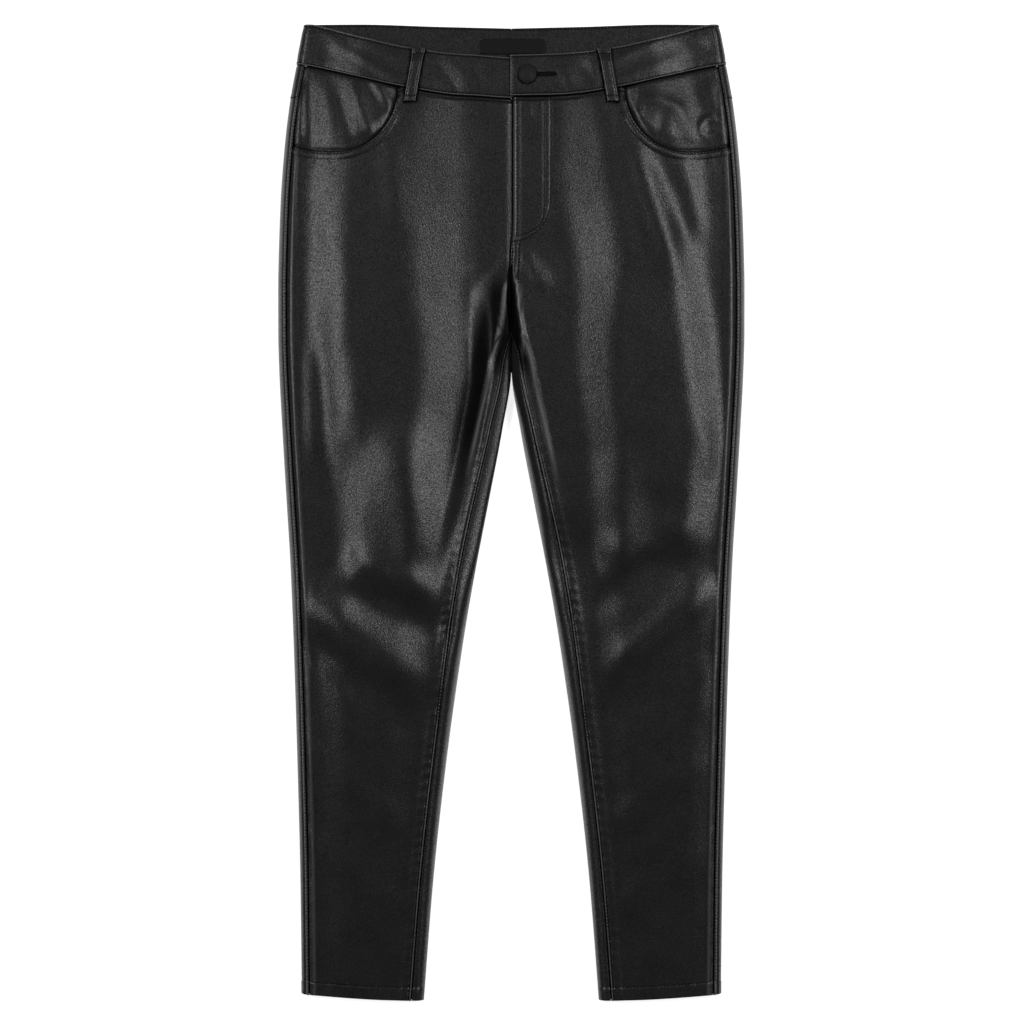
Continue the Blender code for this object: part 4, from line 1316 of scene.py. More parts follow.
    def relief(self, side: Side, down: Array, ring: Array) -> Array:
        """How far the leather stands off the laid skin: its seams, turned edges, stitching and creases.

        Args:
            side: the side.
            down: how far down each point is.
            ring: its ring place.

        Returns:
            The distance out at each point.
        """
        half, off_side, off_inner = self._off_sides(side, down, ring)
        x = side.value * half
        out = self._lumpy(x, down) + self.small_lump_height * self.small_lumps(x, down)
        out += self._side_seam(down, off_side)
        out += np.where(down > SIZES.crotch_point, self._inseam(down, off_inner), 0.0)
        out += np.where(down <= SIZES.crotch_point, self._centre(side, x, down, off_inner), 0.0)
        out += self._hem(half, down)
        crest = smooth((down - CREST_STARTS) / 12) * fade(down, CREST_ENDS, CREST_FADES)
        return out + self._top(side, half, down) + crest * swell(half, CREST(down), 2.2, 0.9)

    def painted_shade_and_highlight(self, side: Side, down: Array, ring: Array) -> Array:
        """Painted shade at each point, up to 1 at an edge and in the seams, or a painted highlight, down to
        -1 on a ridge.
        """
        half, off_side, off_inner = self._off_sides(side, down, ring)
        off_band, off_pocket = self._off_tops(side, half, down)
        off_pocket = np.maximum(off_pocket, 0.0)
        off_edge = np.minimum(np.minimum(off_side, off_inner), np.minimum(off_band, off_pocket - 0.6))
        # Painted shade along the edges and in the inseam's groove, and a painted highlight on the inseam's
        # lip.
        inseam = ridged(off_inner, Ridge(INSEAM_GROOVE, 0.5, 0.9), Ridge(1.4, 0.6, -0.8))
        deep = fade(off_edge, 0.4, 0.9) + np.where(down > SIZES.crotch_point, inseam, 0.0)
        # Painted shade in the pocket's rows of stitches and a painted highlight on its folded edge.
        near_row, far_row = POCKET_ROWS
        deep += ridged(off_pocket, Ridge(near_row, 0.55, 0.15), Ridge(far_row, 0.6, 0.35))
        deep -= swell(off_pocket, 1.6, 0.5, 0.5)
        # Painted shade in the groove below the band and in the hem's row, and a painted highlight on the
        # ridge beside the side seam.
        deep += swell(off_band, BAND_GROOVE, 0.6, 0.3) - swell(off_side, SIDE_RIDGE, 1.1, 0.4)
        deep += swell(FORM.hem_edge(half) - down, HEM_STITCH, 0.6, 0.4)
        # Painted shadow beside the front belt loops.
        deep += BeltLoops.shade(side.value * half, down)
        # Painted shade in the cleft inside the crest beside the crotch, and a painted highlight along the
        # crest.
        away, parted = half - CREST(down), smooth((down - CREST_STARTS) / 10)
        deep += parted * fade(down, 335, 30) * smooth((-away - 1.5) / 3) * 0.9
        deep -= parted * fade(down, CREST_ENDS, CREST_FADES) * swell(away, 0.0, 1.3, 1.5)
        if side is Side.LEFT:
            # Painted shade in the fly's rows of stitches and a painted highlight along the fly's edge.
            for fly in FLY_ROWS:
                deep += swell(fly.distance(half, down), 0.0, 0.7, 0.35)
            deep -= swell(off_inner, 2.6, 0.9, 0.6) * smooth((FLY_FOOT - down) / FLY_FADES)
        else:
            # Painted shade in the hollow of the right leg's inner flank beside the crotch.
            painted_hollow_shade = smooth((away - 1.3) / 2.2) * fade(away, 16, 11)
            deep += 0.8 * painted_hollow_shade * smooth((down - 245) / 30) * fade(down, 400, 80)
        return np.clip(deep, -1.0, 1.0)

    def _side_seam(self, down: Array, off: Array) -> Array:
        """The panel dips to the side seam and rises beside it, a little unevenly."""
        pull = 0.07 * np.sin(down / 2.9 + 1.2 * np.sin(down / 23)) * np.exp(-((off / 7) ** 2))
        dip = ridged(off, Ridge(0.0, 2.6, -0.7), Ridge(SIDE_RIDGE, 1.9, 0.45))
        return dip + pull - (1 - quarter(off, 1.1))

    def _inseam(self, down: Array, off: Array) -> Array:
        """A stitched lip along the inseam, with puckers beside it over the seam's allowance."""
        lip = ridged(off, Ridge(INSEAM_LIP, 1.0, 0.45), Ridge(INSEAM_GROOVE, 0.7, -0.6))
        lip = lip - (1 - quarter(off, 0.9))
        allowance = 0.55 * fade(off, 9, 4)
        crest = smooth((down - 300) / 30) * fade(down, 400, 60) * swell(off, 7.5, 2.6, -0.5)
        phase = down / 11 * 2 * math.pi + 1.5 * np.sin(down / 19) + 1.1 * np.sin(down / 43 + 1)
        strong = 0.30 + 0.14 * np.sin(down / 31 + 2) + 0.08 * np.sin(down / 13)
        active = smooth((down - 395) / 40) * (0.4 + 0.6 * fade(down, 860, 90))
        puckers = strong * np.sin(phase) * np.exp(-(((off - 6.4) / 3.1) ** 2))
        return lip + allowance + crest + active * puckers

    def _centre(self, side: Side, x: Array, down: Array, off: Array) -> Array:
        """The lapped and stitched edge of the fly, and the centre seam below it."""
        fly = smooth((FLY_FOOT - down) / FLY_FADES)
        below = 1 - fly
        groove = -0.9 * (1 - quarter(off, 0.9))
        if side is Side.RIGHT:
            return fly * swell(off, 0.0, 4.0, -0.9) + groove + below * swell(off, 0.0, 2.2, -0.5)
        inner, outer = (row.distance(x, down) for row in FLY_ROWS)
        facing = 0.5 * fade(outer, -0.5, 3.0) * smooth((240 - down) / 20)
        lap = 0.75 * fade(off, 2.5, 8)
        rows = swell(inner, 0.0, 0.7, -0.45) + swell(outer, 0.0, 0.7, -0.5)
        edge = swell(off, 4.2, 0.8, -0.45) * smooth((216 - down) / 4)
        lower = ridged(off, Ridge(2.1, 0.7, -0.45), Ridge(8.6, 0.8, -0.45), Ridge(5.2, 2.2, 0.4))
        return facing + (lap + rows) * fly + edge + below * fade(down, 258, 14) * lower + groove

    def _hem(self, half: Array, down: Array) -> Array:
        """The turned hem: a second layer below its row of stitches."""
        up = FORM.hem_edge(half) - down
        layer = 0.55 * fade(up, 13.0, 2.0)
        pulls = np.sin(half / 2.1 + 2 * np.sin(half / 17)) * swell(up, 11, 7, 0.12)
        shape = layer + swell(up, HEM_STITCH, 0.8, -0.45) - 0.6 * (1 - quarter(up, 0.9)) + pulls
        return np.where(up < 60, shape, 0.0)

    def _top(self, side: Side, half: Array, down: Array) -> Array:
        """The edge along the waistband, and the folded and twice-stitched edge of the pocket."""
        off_band, off = self._off_tops(side, half, down)
        band = ridged(
            off_band, Ridge(0.0, 1.2, -1.2), Ridge(1.9, 0.9, 0.3), Ridge(BAND_GROOVE, 0.8, -0.6)
        )
        fold = 0.8 * fade(off, 7.4, 2.4) - 1.2 * (1 - quarter(off, 1.3))
        near_row, far_row = POCKET_ROWS
        rows = ridged(off, Ridge(near_row, 0.8, -0.55), Ridge(far_row, 0.9, -0.65))
        wave = np.sin(half * 1.12 + 1.6 * np.sin(half / 9.0)) * swell(off, 5, 3.6, 0.22)
        outer = np.sin(half * 0.8 + 2.0 * np.sin(half / 7.0)) * swell(off, 11, 3.0, 0.22)
        gathers = smooth((half - 140) / 30) * (wave + outer)
        return band + np.where(off < 40, fold + rows + gathers, 0.0)

    def build(self, side: Side) -> bpy.types.Object:
        """Builds one front panel."""
        rows = (self._leg_rows(side), self._upper_rows(side))
        down, ring = (np.concatenate(parts) for parts in zip(*rows))
        relief = self.relief(side, down, ring)
        outer = FORM.place(side, down, ring, relief)
        x = outer[..., 0]
        under = self._lumpy(x, down) - FORM.leg_wall(np.abs(x), down)
        inner = FORM.place(side, down, ring, np.minimum(under, relief - self.thinnest))
        wall = Patchwork(side)
        wall.add(outer, inner, painted_shade_and_highlight=self.painted_shade_and_highlight(side, down, ring))
        name = f"front_{side.word}"
        made = wall.piece(name, self.finishes.leather, f"front_panel_{side.word}")
        return made

    def seams(self, side: Side) -> list[Seam]:
        """The rows of stitches on one front panel."""
        below = np.linspace(SIZES.crotch_point + 12, SIZES.hem_outer - 12, 320)
        inseam = FORM.front_inner(side, below) + 1.5
        turn = np.linspace(0.10, QUARTER, 60)
        rows = [on_front(side, inseam, below, 0.42)]
        for grow, out in ((2.1, 0.42), (POCKET_ROWS[1], 0.12)):
            half, down = FORM.pocket_point(turn, grow)
            foot = np.linspace(SIZES.pocket_low, 220.5, 30)[1:]
            half = np.concatenate((half, foot))
            down = np.concatenate((down, FORM.pocket_foot(foot, grow)))
            rows.append(on_front(side, half, down, out))
        foot = FORM.section(960.0)
        across = np.linspace(foot.inner + 13.5, foot.outer - 10, 60)
        rows.append(on_front(side, across, FORM.hem_edge(across) - HEM_STITCH, 0.1))
        if side is Side.LEFT:
            cleft = on_front(side, 0.15, np.linspace(SIZES.crotch_point - 20, SIZES.apex + 2, 60), 0.1)
            cleft.stitch = Stitch(pitch=2.1, length=2.6, thick=1.1)
            rows.append(cleft)
            rows += self._fly_seams()
        return rows

    def _fly_seams(self) -> list[Seam]:
        """The rows of stitches of the fly and of the centre seam below it."""
        rows = []
        for row, out in zip(FLY_ROWS, (0.35, 0.1)):
            x, down = row.path(76.0)
            rows.append(on_front(Side.LEFT, x, down, out))
        upper = np.linspace(76.0, 212.0, 60)
        rows.append(on_front(Side.LEFT, FORM.front_inner(Side.LEFT, upper) + 4.2, upper, 0.85))
        lower = np.linspace(221.0, 262.0, 30)
        for off in (2.1, 8.6):
            rows.append(on_front(Side.LEFT, FORM.front_inner(Side.LEFT, lower) + off, lower, 0.15))
        return rows


# ---------------------------------------------------------------- back panels and yokes


class Stretch(Enum):
    """A stretch of the back's columns, from the side seam round beneath to the centre or the inseam."""

    STRIP = 0
    OUTER_ROLL = 1
    FLAT = 2
    INNER_ROLL = 3
    INNER_STRIP = 4


class BackColumns:
    """Columns of the back, each at a share of a stretch."""

    flat_share: float = 5 / 8
    rounds: int = 6

    def __init__(self, stretches: Sequence[tuple[Stretch, Array]]) -> None:
        """Joins stretches, whose shares are given, into one row of columns."""
        self.kinds = np.concatenate([np.full(len(shares), kind.value) for kind, shares in stretches])
        self.shares = np.concatenate([shares for _, shares in stretches])

    def rings(self, down: Array) -> Array:
        """Ring place of each column at rows of down, whose last axis is the columns."""
        down = np.broadcast_to(down, np.broadcast(down, self.shares).shape)
        row = FORM.section(down)
        inner, outer = FORM.under_radii(row)
        length = FORM.spread(row, inner, outer)
        gap = SIZES.gap / 2
        outer_floor = 1 + outer * QUARTER / length
        base = FORM.curves["inner_base"](SIZES.apex)
        flank = FORM.under_radius(base, SIZES.apex)
        legs = down >= SIZES.apex
        centre = np.where(legs, 2.0, FORM.back_ring(down, row.inner + gap))
        even = mix(outer_floor, centre, self.flat_share)
        eased = smooth((SIZES.apex - down) / SIZES.seat_spread)
        seat_floor = mix(FORM.back_ring(down, row.inner + flank), even, eased)
        inner_floor = np.where(legs, 2 - inner * QUARTER / length, seat_floor)
        strip = FORM.front_ring(down, FORM.side_seam(down) + gap)
        inseam = row.inner + FORM.inseam_in(down) - gap
        start = 2.0 + FORM.front_ring(down, row.inner + np.where(legs, 0.0, gap))
        ends = (
            (strip, 1.0),
            (1.0, outer_floor),
            (outer_floor, inner_floor),
            (inner_floor, centre),
            (start, 2.0 + FORM.front_ring(down, inseam)),
        )
        found = [mix(low, high, self.shares) for low, high in ends]
        return np.choose(self.kinds, np.stack(np.broadcast_arrays(*found)))

    def crossing(self, seam: Callable[[Array, Array], Array], offset: float) -> Array:
        """down of each column where it crosses a seam, given by its ring and half distance."""
        down = np.full(len(self.shares), FRONT_BAND[0].seam)
        for _ in range(self.rounds):
            ring = self.rings(down)
            down = seam(ring, np.abs(FORM.skin(Side.LEFT, down, ring)[..., 0])) + offset
        return down


def yoke_seam(ring: Array, half: Array) -> Array:
    """down of the seam between the back and its yoke."""
    return FORM.yoke_curve(half)


def band_seam(ring: Array, half: Array) -> Array:
    """down of the seam at the foot of the waistband."""
    return FORM.band_edge("seam", ring, half)


def band_top(ring: Array, half: Array) -> Array:
    """down of the waistband's top edge."""
    return FORM.band_edge("top", ring, half)


STRIP_INSETS = np.array((0, 0.25, 0.5, 0.8, 1.1, 1.5, 1.9, 2.3, 2.8, 3.6, 4.8, 6.2, 8.0, 10.0, 12.5))
AROUND = (
    (Stretch.STRIP, STRIP_INSETS / STRIP_INSETS[-1]),
    (Stretch.OUTER_ROLL, np.linspace(0, 1, 7)[1:]),
    (Stretch.FLAT, np.linspace(0, 1, 15)[1:]),
    (Stretch.INNER_ROLL, np.linspace(0, 1, 7)[1:]),
)


@dataclass
class BackPanels:
    """Both back panels and their yokes: flat beneath, and rolled round each leg to the front."""

    finishes: Finishes
    flat: Point = (0.320, 0.905)
    cut_area: float = 0.190
    yoke_flat: Point = (0.250, 0.064)
    yoke_area: float = 0.0112
    yoke_rows: tuple[float, ...] = (
        0, 0.006, 0.014, 0.026, 0.045, 0.08, 0.14, 0.25, 0.4, 0.55, 0.7, 0.82, 0.9, 0.95, 0.975, 1
    )
    leg_step: float = 2.4
    seat_step: float = 3.2
    hem_insets: tuple[float, ...] = (
        0, 0.3, 0.7, 1.3, 2.2, 4.0, 7.0, 10.0, 12.2, 13.0, 13.5, 14.0, 15.0, 17.0, 21.0
    )
    lip: float = 1.6
    groove: float = 3.6

    def _off_seams(self, down: Array, ring: Array) -> tuple[Array, Array]:
        """How far each point is from the side seam and from the inseam."""
        length = FORM.front_length(down)
        off_side = (ring - FORM.front_ring(down, FORM.side_seam(down))) * length
        inseam = FORM.section(down).inner + FORM.inseam_in(down)
        return off_side, (2.0 + FORM.front_ring(down, inseam) - ring) * length

    def relief(self, side: Side, down: Array, ring: Array, hem: bool = True) -> Array:
        """How far the leather stands off the laid skin, on the strips that show."""
        off_side, off_inseam = self._off_seams(down, ring)
        on_strip = ring <= 1
        lip = ridged(off_side, Ridge(self.lip, 1.1, 0.6), Ridge(self.groove, 0.8, -0.35))
        lip += np.sin(down / 0.54) * swell(off_side, self.lip, 1.2, 0.08) - (1 - quarter(off_side, 0.9))
        inner = -0.6 * (1 - quarter(off_inseam, 0.9)) + swell(off_inseam, 0.0, 1.6, -0.3)
        out = np.where(on_strip, lip, np.where(ring > 2, inner, 0.0))
        if hem:
            half = np.abs(FORM.skin(side, down, ring)[..., 0])
            up = FORM.hem_edge(half) - down
            shape = 0.4 * fade(up, 13.0, 2.0) + swell(up, HEM_STITCH, 0.9, -0.4)
            shape = shape * (up < 60) - 0.6 * (1 - quarter(up, 0.9)) * (up < 10)
            out += np.where(on_strip | (ring > 2), shape, 0.0)
        return out

    def painted_shade_and_highlight(self, down: Array, ring: Array) -> Array:
        """Painted shade in the side seam and the inseam, up to 1, a painted highlight on the strip's lip,
        down to -1, and painted shade over the rolled edges.
        """
        off_side, off_inseam = self._off_seams(down, ring)
        off = np.where(ring <= 1, off_side, np.where(ring > 2, off_inseam, FAR))
        # Painted shade in the strip's groove and a painted highlight on its lip.
        strip = ridged(off_side, Ridge(self.groove, 0.5, 0.5), Ridge(self.lip, 0.7, -0.8)) * (ring <= 1)
        # Painted shade over the rolled edges takes off their reflection of the bright floor.
        rolled = np.minimum(np.abs(ring - 1), np.abs(ring - 2)) * FORM.front_length(down)
        return np.clip(fade(off, 0.3, 0.8) + strip + 0.75 * fade(rolled, 2.5, 2.5), -1.0, 1.0)

    def _add(self, wall: Patchwork, down: Array, ring: Array, shared: Array | None = None) -> Array:
        """Adds a grid to a panel's wall."""
        outer = FORM.place(wall.side, down, ring, self.relief(wall.side, down, ring))
        half = np.abs(FORM.skin(wall.side, down, ring)[..., 0])
        inner = FORM.place(wall.side, down, ring, -FORM.leg_wall(half, down))
        return wall.add(outer, inner, shared, self.painted_shade_and_highlight(down, ring))

    def build(self, side: Side) -> bpy.types.Object:
        """Builds one back panel from its leg, the strip up to the crotch and the seat."""
        around = BackColumns(AROUND)
        strip_shares = (1 - STRIP_INSETS / STRIP_INSETS[-1])[::-1]
        strip = BackColumns(((Stretch.INNER_STRIP, strip_shares),))
        legs = BackColumns((*AROUND, (Stretch.INNER_STRIP, strip_shares[1:])))
        down = leg_rows(self.hem_insets, ((SIZES.apex, self.leg_step),), legs.rings)
        wall = Patchwork(side)
        numbers = self._add(wall, down, legs.rings(down))
        turn = len(around.shares) - 1
        crotch = np.linspace(SIZES.apex, SIZES.crotch_point + 8, 14)[:, None]
        crotch = np.broadcast_to(crotch, (len(crotch), len(strip_shares)))
        self._add(wall, crotch, strip.rings(crotch), numbers[-1, turn:])
        seat_count = round((SIZES.apex - SIZES.upper_start) / self.seat_step)
        seat = np.linspace(SIZES.apex, SIZES.upper_start, seat_count + 1)[:, None]
        seat = np.broadcast_to(seat, (len(seat), turn + 1))
        seam = around.crossing(yoke_seam, SIZES.gap / 2)
        top = mix(SIZES.upper_start, seam, np.linspace(0, 1, 26)[1:, None])
        seat = np.concatenate((seat, top))
        self._add(wall, seat, around.rings(seat), numbers[-1, : turn + 1])
        name = f"back_{side.word}"
        made = wall.piece(name, self.finishes.leather, f"back_panel_{side.word}")
        return made

    def build_yoke(self, side: Side) -> bpy.types.Object:
        """Builds one yoke, between the back and the waistband."""
        around = BackColumns(AROUND)
        low = around.crossing(yoke_seam, -SIZES.gap / 2)
        high = around.crossing(band_seam, SIZES.gap / 2)
        down = mix(low, high, np.array(self.yoke_rows)[:, None])
        ring = around.rings(down)
        off_low, off_high = low - down, down - high
        out = self.relief(side, down, ring, hem=False)
        out += 0.3 * fade(off_low, 2, 2) - 0.5 * (1 - quarter(off_low, 0.8))
        out += swell(off_high, 0.0, 1.4, -0.5)
        out = np.where(ring <= 1.02, out, 0.0)
        outer = FORM.place(side, down, ring, out)
        inner = FORM.place(side, down, ring, -SIZES.panel_wall)
        wall = Patchwork(side)
        # Painted shade at the yoke's seams, with the back's painted shade; painted highlights are clipped
        # off.
        deep = fade(np.minimum(off_low, off_high), 0.3, 0.8)
        wall.add(outer, inner, painted_shade_and_highlight=np.clip(deep + self.painted_shade_and_highlight(down, ring), 0.0, 1.0))
        name = f"yoke_{side.word}"
        made = wall.piece(name, self.finishes.leather, f"back_yoke_{side.word}")
        return made

    def seams(self, side: Side) -> list[Seam]:
        """The rows of stitches on one side of the back that show."""
        down = np.linspace(46.0, SIZES.hem_outer - 3, 420)
        ring = FORM.front_ring(down, FORM.side_seam(down)) + 1.6 / FORM.front_length(down)
        return [Seam(side, down, ring, 0.42)]


# ---------------------------------------------------------------- waistband


BAND_CREASES = (
    Crease(-184, 8, -170, 30, 8, 0.7),
    Crease(-172, 24, -112, 60, 6, 0.8),
    Crease(-146, 18, -106, 40, 6, 0.5),
    Crease(-160, 36, -120, 62, 5, -0.5),
    Crease(-78, 36, -52, 70, 5, 0.7),
    Crease(-66, 34, -44, 56, 4, -0.4),
    Crease(-40, 40, -28, 66, 6, 0.4),
    Crease(44, 38, 58, 62, 6, 0.6),
    Crease(68, 36, 84, 64, 6, 0.5),
    Crease(100, 40, 152, 16, 5, 0.7),
    Crease(112, 56, 168, 34, 6, 0.5),
    Crease(166, 10, 196, 24, 7, 0.6),
    Crease(178, 36, 204, 20, 6, -0.4),
)


class BandColumns:
    """Columns of one half of the band: over its front, round the side, and along the back."""

    step: float = 2.2
    front_insets: tuple[float, ...] = (0, 0.15, 0.35, 0.7, 1.1, 1.6, 2.1, 2.7, 3.5, 4.6)
    side_start: float = 184.0
    side_down: float = 42.0
    side_arcs: int = 16
    back_counts: tuple[tuple[Stretch, int], ...] = (
        (Stretch.OUTER_ROLL, 6),
        (Stretch.FLAT, 40),
        (Stretch.INNER_ROLL, 24),
    )
    beyond: float = 200.0
    first_guess: float = 40.0
    rounds: int = 8

    def __init__(self, side: Side) -> None:
        """Works out the half distances of the front columns and the arcs of the side's."""
        self.side = side
        start = -SIZES.band_tab if side is Side.RIGHT else SIZES.over_end
        crowd = np.array(self.front_insets)
        count = round((self.side_start - start - crowd[-1]) / self.step)
        even = np.linspace(start + crowd[-1], self.side_start, count + 1)
        self.halves = np.concatenate((start + crowd[:-1], even))
        row = FORM.section(self.side_down)
        arc = float(FORM.arc_in(row.outer - self.side_start, row.roll_out))
        self.arcs = np.linspace(arc, 0.0, self.side_arcs + 1)[1:]
        stretches = [(kind, np.linspace(0, 1, steps + 1)[1:]) for kind, steps in self.back_counts]
        self.back = BackColumns(stretches)
        self.front = len(self.halves)
        self.shown = self.front + len(self.arcs)
        self.count = self.shown + len(self.back.shares)
        self.reach = np.concatenate((self.halves, np.full(self.count - self.front, self.beyond)))
        settle = fade(self.reach, SIZES.overlap_half, SIZES.overlap_fade)
        self.lap = (SIZES.band_wall + SIZES.gap) * settle * (side is Side.LEFT)

    def rings(self, down: Array) -> Array:
        """Ring place of every column."""
        parts = (
            FORM.front_ring(down[..., : self.front], self.halves),
            1 - self.arcs / FORM.front_length(down[..., self.front : self.shown]),
            self.back.rings(down[..., self.shown :]),
        )
        return np.concatenate(parts, axis=-1)

    def edges(self) -> tuple[Array, Array]:
        """down of the seam and of the top edge at each column."""
        found = []
        for seam, offset in ((band_seam, -SIZES.gap / 2), (band_top, 0.0)):
            down = np.full(self.count, self.first_guess)
            for _ in range(self.rounds):
                ring = self.rings(down)
                down = seam(ring, np.abs(FORM.skin(Side.LEFT, down, ring)[..., 0])) + offset
            down[: self.front] += FORM.band_drop(self.side, self.halves)
            found.append(down)
        low, high = found
        if self.side is Side.RIGHT:
            low[: self.front] -= smooth(-self.halves / 4) * (SIZES.tab_raised + SIZES.right_band_drop)
        return low, high


@dataclass
class Waistband:
    """Both halves of the waistband, each from the centre front round its side to the centre back."""

    finishes: Finishes
    insets: tuple[float, ...] = (0, 0.12, 0.3, 0.55, 0.9, 1.3, 1.7, 2.1, 2.5, 3.0, 3.8, 5.0, 7.0)
    middle_rows: int = 14
    row_in: float = 2.1
    groove: float = 2.2
    flat: Point = (0.480, 0.042)
    cut_area: float = 0.0192

    def relief(self, x: Array, down: Array, off_low: Array, off_high: Array) -> Array:
        """How far the band's face stands off its plain form."""
        near = np.minimum(off_low, off_high)
        rows = swell(off_low, self.groove, 0.75, -0.5) + swell(off_high, self.groove, 0.75, -0.45)
        full = 0.45 * smooth((near - self.groove) / 8) + swell(near, 1.0, 0.8, 0.15)
        pulls = np.sin(x / 1.45 + 2 * np.sin(x / 11)) * swell(near, 4, 3, 0.07)
        return rows + full + creased(BAND_CREASES, x, down) + pulls

    def build(self, side: Side) -> bpy.types.Object:
        """Builds one half of the band."""
        columns = BandColumns(side)
        low, high = columns.edges()
        share, lead = crowded(self.insets, self.middle_rows)
        inset = self.insets[-1]
        down = mix(low - inset, high + inset, share[:, None]) + lead[:, None]
        ring = columns.rings(down)
        off_low, off_high = low - down, down - high
        x = FORM.skin(side, down, ring)[..., 0]
        base = SIZES.band_raise + columns.lap
        round_edge = SIZES.band_wall / 2 - 0.1
        start = (columns.reach - columns.halves[0]) * np.ones_like(down)
        edge = np.minimum(np.minimum(off_low, off_high), start)
        turned = round_edge * (1 - quarter(edge, round_edge))
        front = np.where(ring <= 1.0, 1.0, np.clip(1 - (ring - 1.0) / 0.02, 0, 1))
        shown = self.relief(x, down, off_low, off_high)
        if side is Side.LEFT:
            shown = shown + swell(start, self.row_in, 0.75, -0.25) - 0.2 * np.exp(-start / 3)
        inside = ridged(off_high, Ridge(self.row_in, 0.8, 0.3), Ridge(4.2, 1.4, -0.12))
        outer = FORM.place(side, down, ring, base + front * shown - turned)
        inner = FORM.place(side, down, ring, base - SIZES.band_wall + turned + inside)
        wall = Patchwork(side)
        # Painted shade at the band's edges and painted shadow beside the front belt loops.
        deep = fade(edge, 0, 0.7) * (edge < 3) + BeltLoops.shade(x, down)
        # Painted shade in the rows of stitches and a painted highlight along both edges.
        deep += ridged(off_low, Ridge(self.groove, 0.5, 0.15), Ridge(1.15, 0.5, -0.9))
        deep += ridged(off_high, Ridge(self.groove, 0.5, 0.15), Ridge(1.05, 0.45, -0.7))
        if side is Side.LEFT:
            # Painted highlight along the end of the overlap, and painted shadow around the button.
            deep -= swell(start, 1.1, 0.5, 0.7)
            from_button = np.hypot(x - WaistButton.x, down - WaistButton.down)
            deep += fade(from_button, WaistButton.reach, 2.4)
        wall.add(outer, inner, painted_shade_and_highlight=np.clip(deep * (ring <= 1), -1.0, 1.0))
        name = f"band_{side.word}"
        made = wall.piece(name, self.finishes.leather, f"waistband_{side.word}")
        return made

    def seams(self, side: Side) -> list[Seam]:
        """The rows of stitches along both edges of the band's face, and inside the back's top edge."""
        columns = BandColumns(side)
        low, high = columns.edges()
        face = SIZES.band_raise + columns.lap + 0.02
        under = np.full(columns.count, SIZES.band_raise - SIZES.band_wall + 0.15)
        begin = int(np.searchsorted(columns.halves, 0.5 if side is Side.RIGHT else 0.6))
        shown, hidden = slice(begin, columns.shown), slice(columns.shown, None)
        low_row, high_row = low - self.row_in, high + self.row_in
        parts = ((low_row, face, shown), (high_row, face, shown), (high_row, under, hidden))
        rows = []
        for down, out, part in parts:
            rows.append(Seam(side, down[part], columns.rings(down)[part], out[part]))
        if side is Side.LEFT:
            down = np.linspace(float(low[0]) - 3.5, float(high[0]) + 3.5, 20)
            out = SIZES.band_raise + SIZES.band_wall + 0.3
            rows.append(on_front(side, SIZES.over_end + self.row_in, down, out))
        return rows


# ---------------------------------------------------------------- pocket facings


FACING_CREASES = (
    Crease(-203, 58, -201, 128, 6, -1.3),
    Crease(-187, 60, -178, 122, 7, 0.9),
    Crease(-171, 72, -157, 124, 6, -1.0),
    Crease(-159, 62, -136, 120, 6, 1.3),
    Crease(-146, 58, -126, 94, 5, -0.8),
    Crease(-139, 58, -117, 86, 5, 0.9),
    Crease(-210, 66, -210, 124, 2.5, 0.5),
    Crease(136, 116, 122, 84, 6, 0.8),
    Crease(132, 74, 172, 88, 7, 0.9),
    Crease(160, 80, 184, 120, 7, 0.9),
    Crease(150, 90, 148, 120, 6, -0.9),
    Crease(178, 64, 196, 96, 7, -0.7),
    Crease(198, 60, 203, 90, 6, 0.7),
    Crease(209, 66, 210, 124, 2.5, 0.5),
)


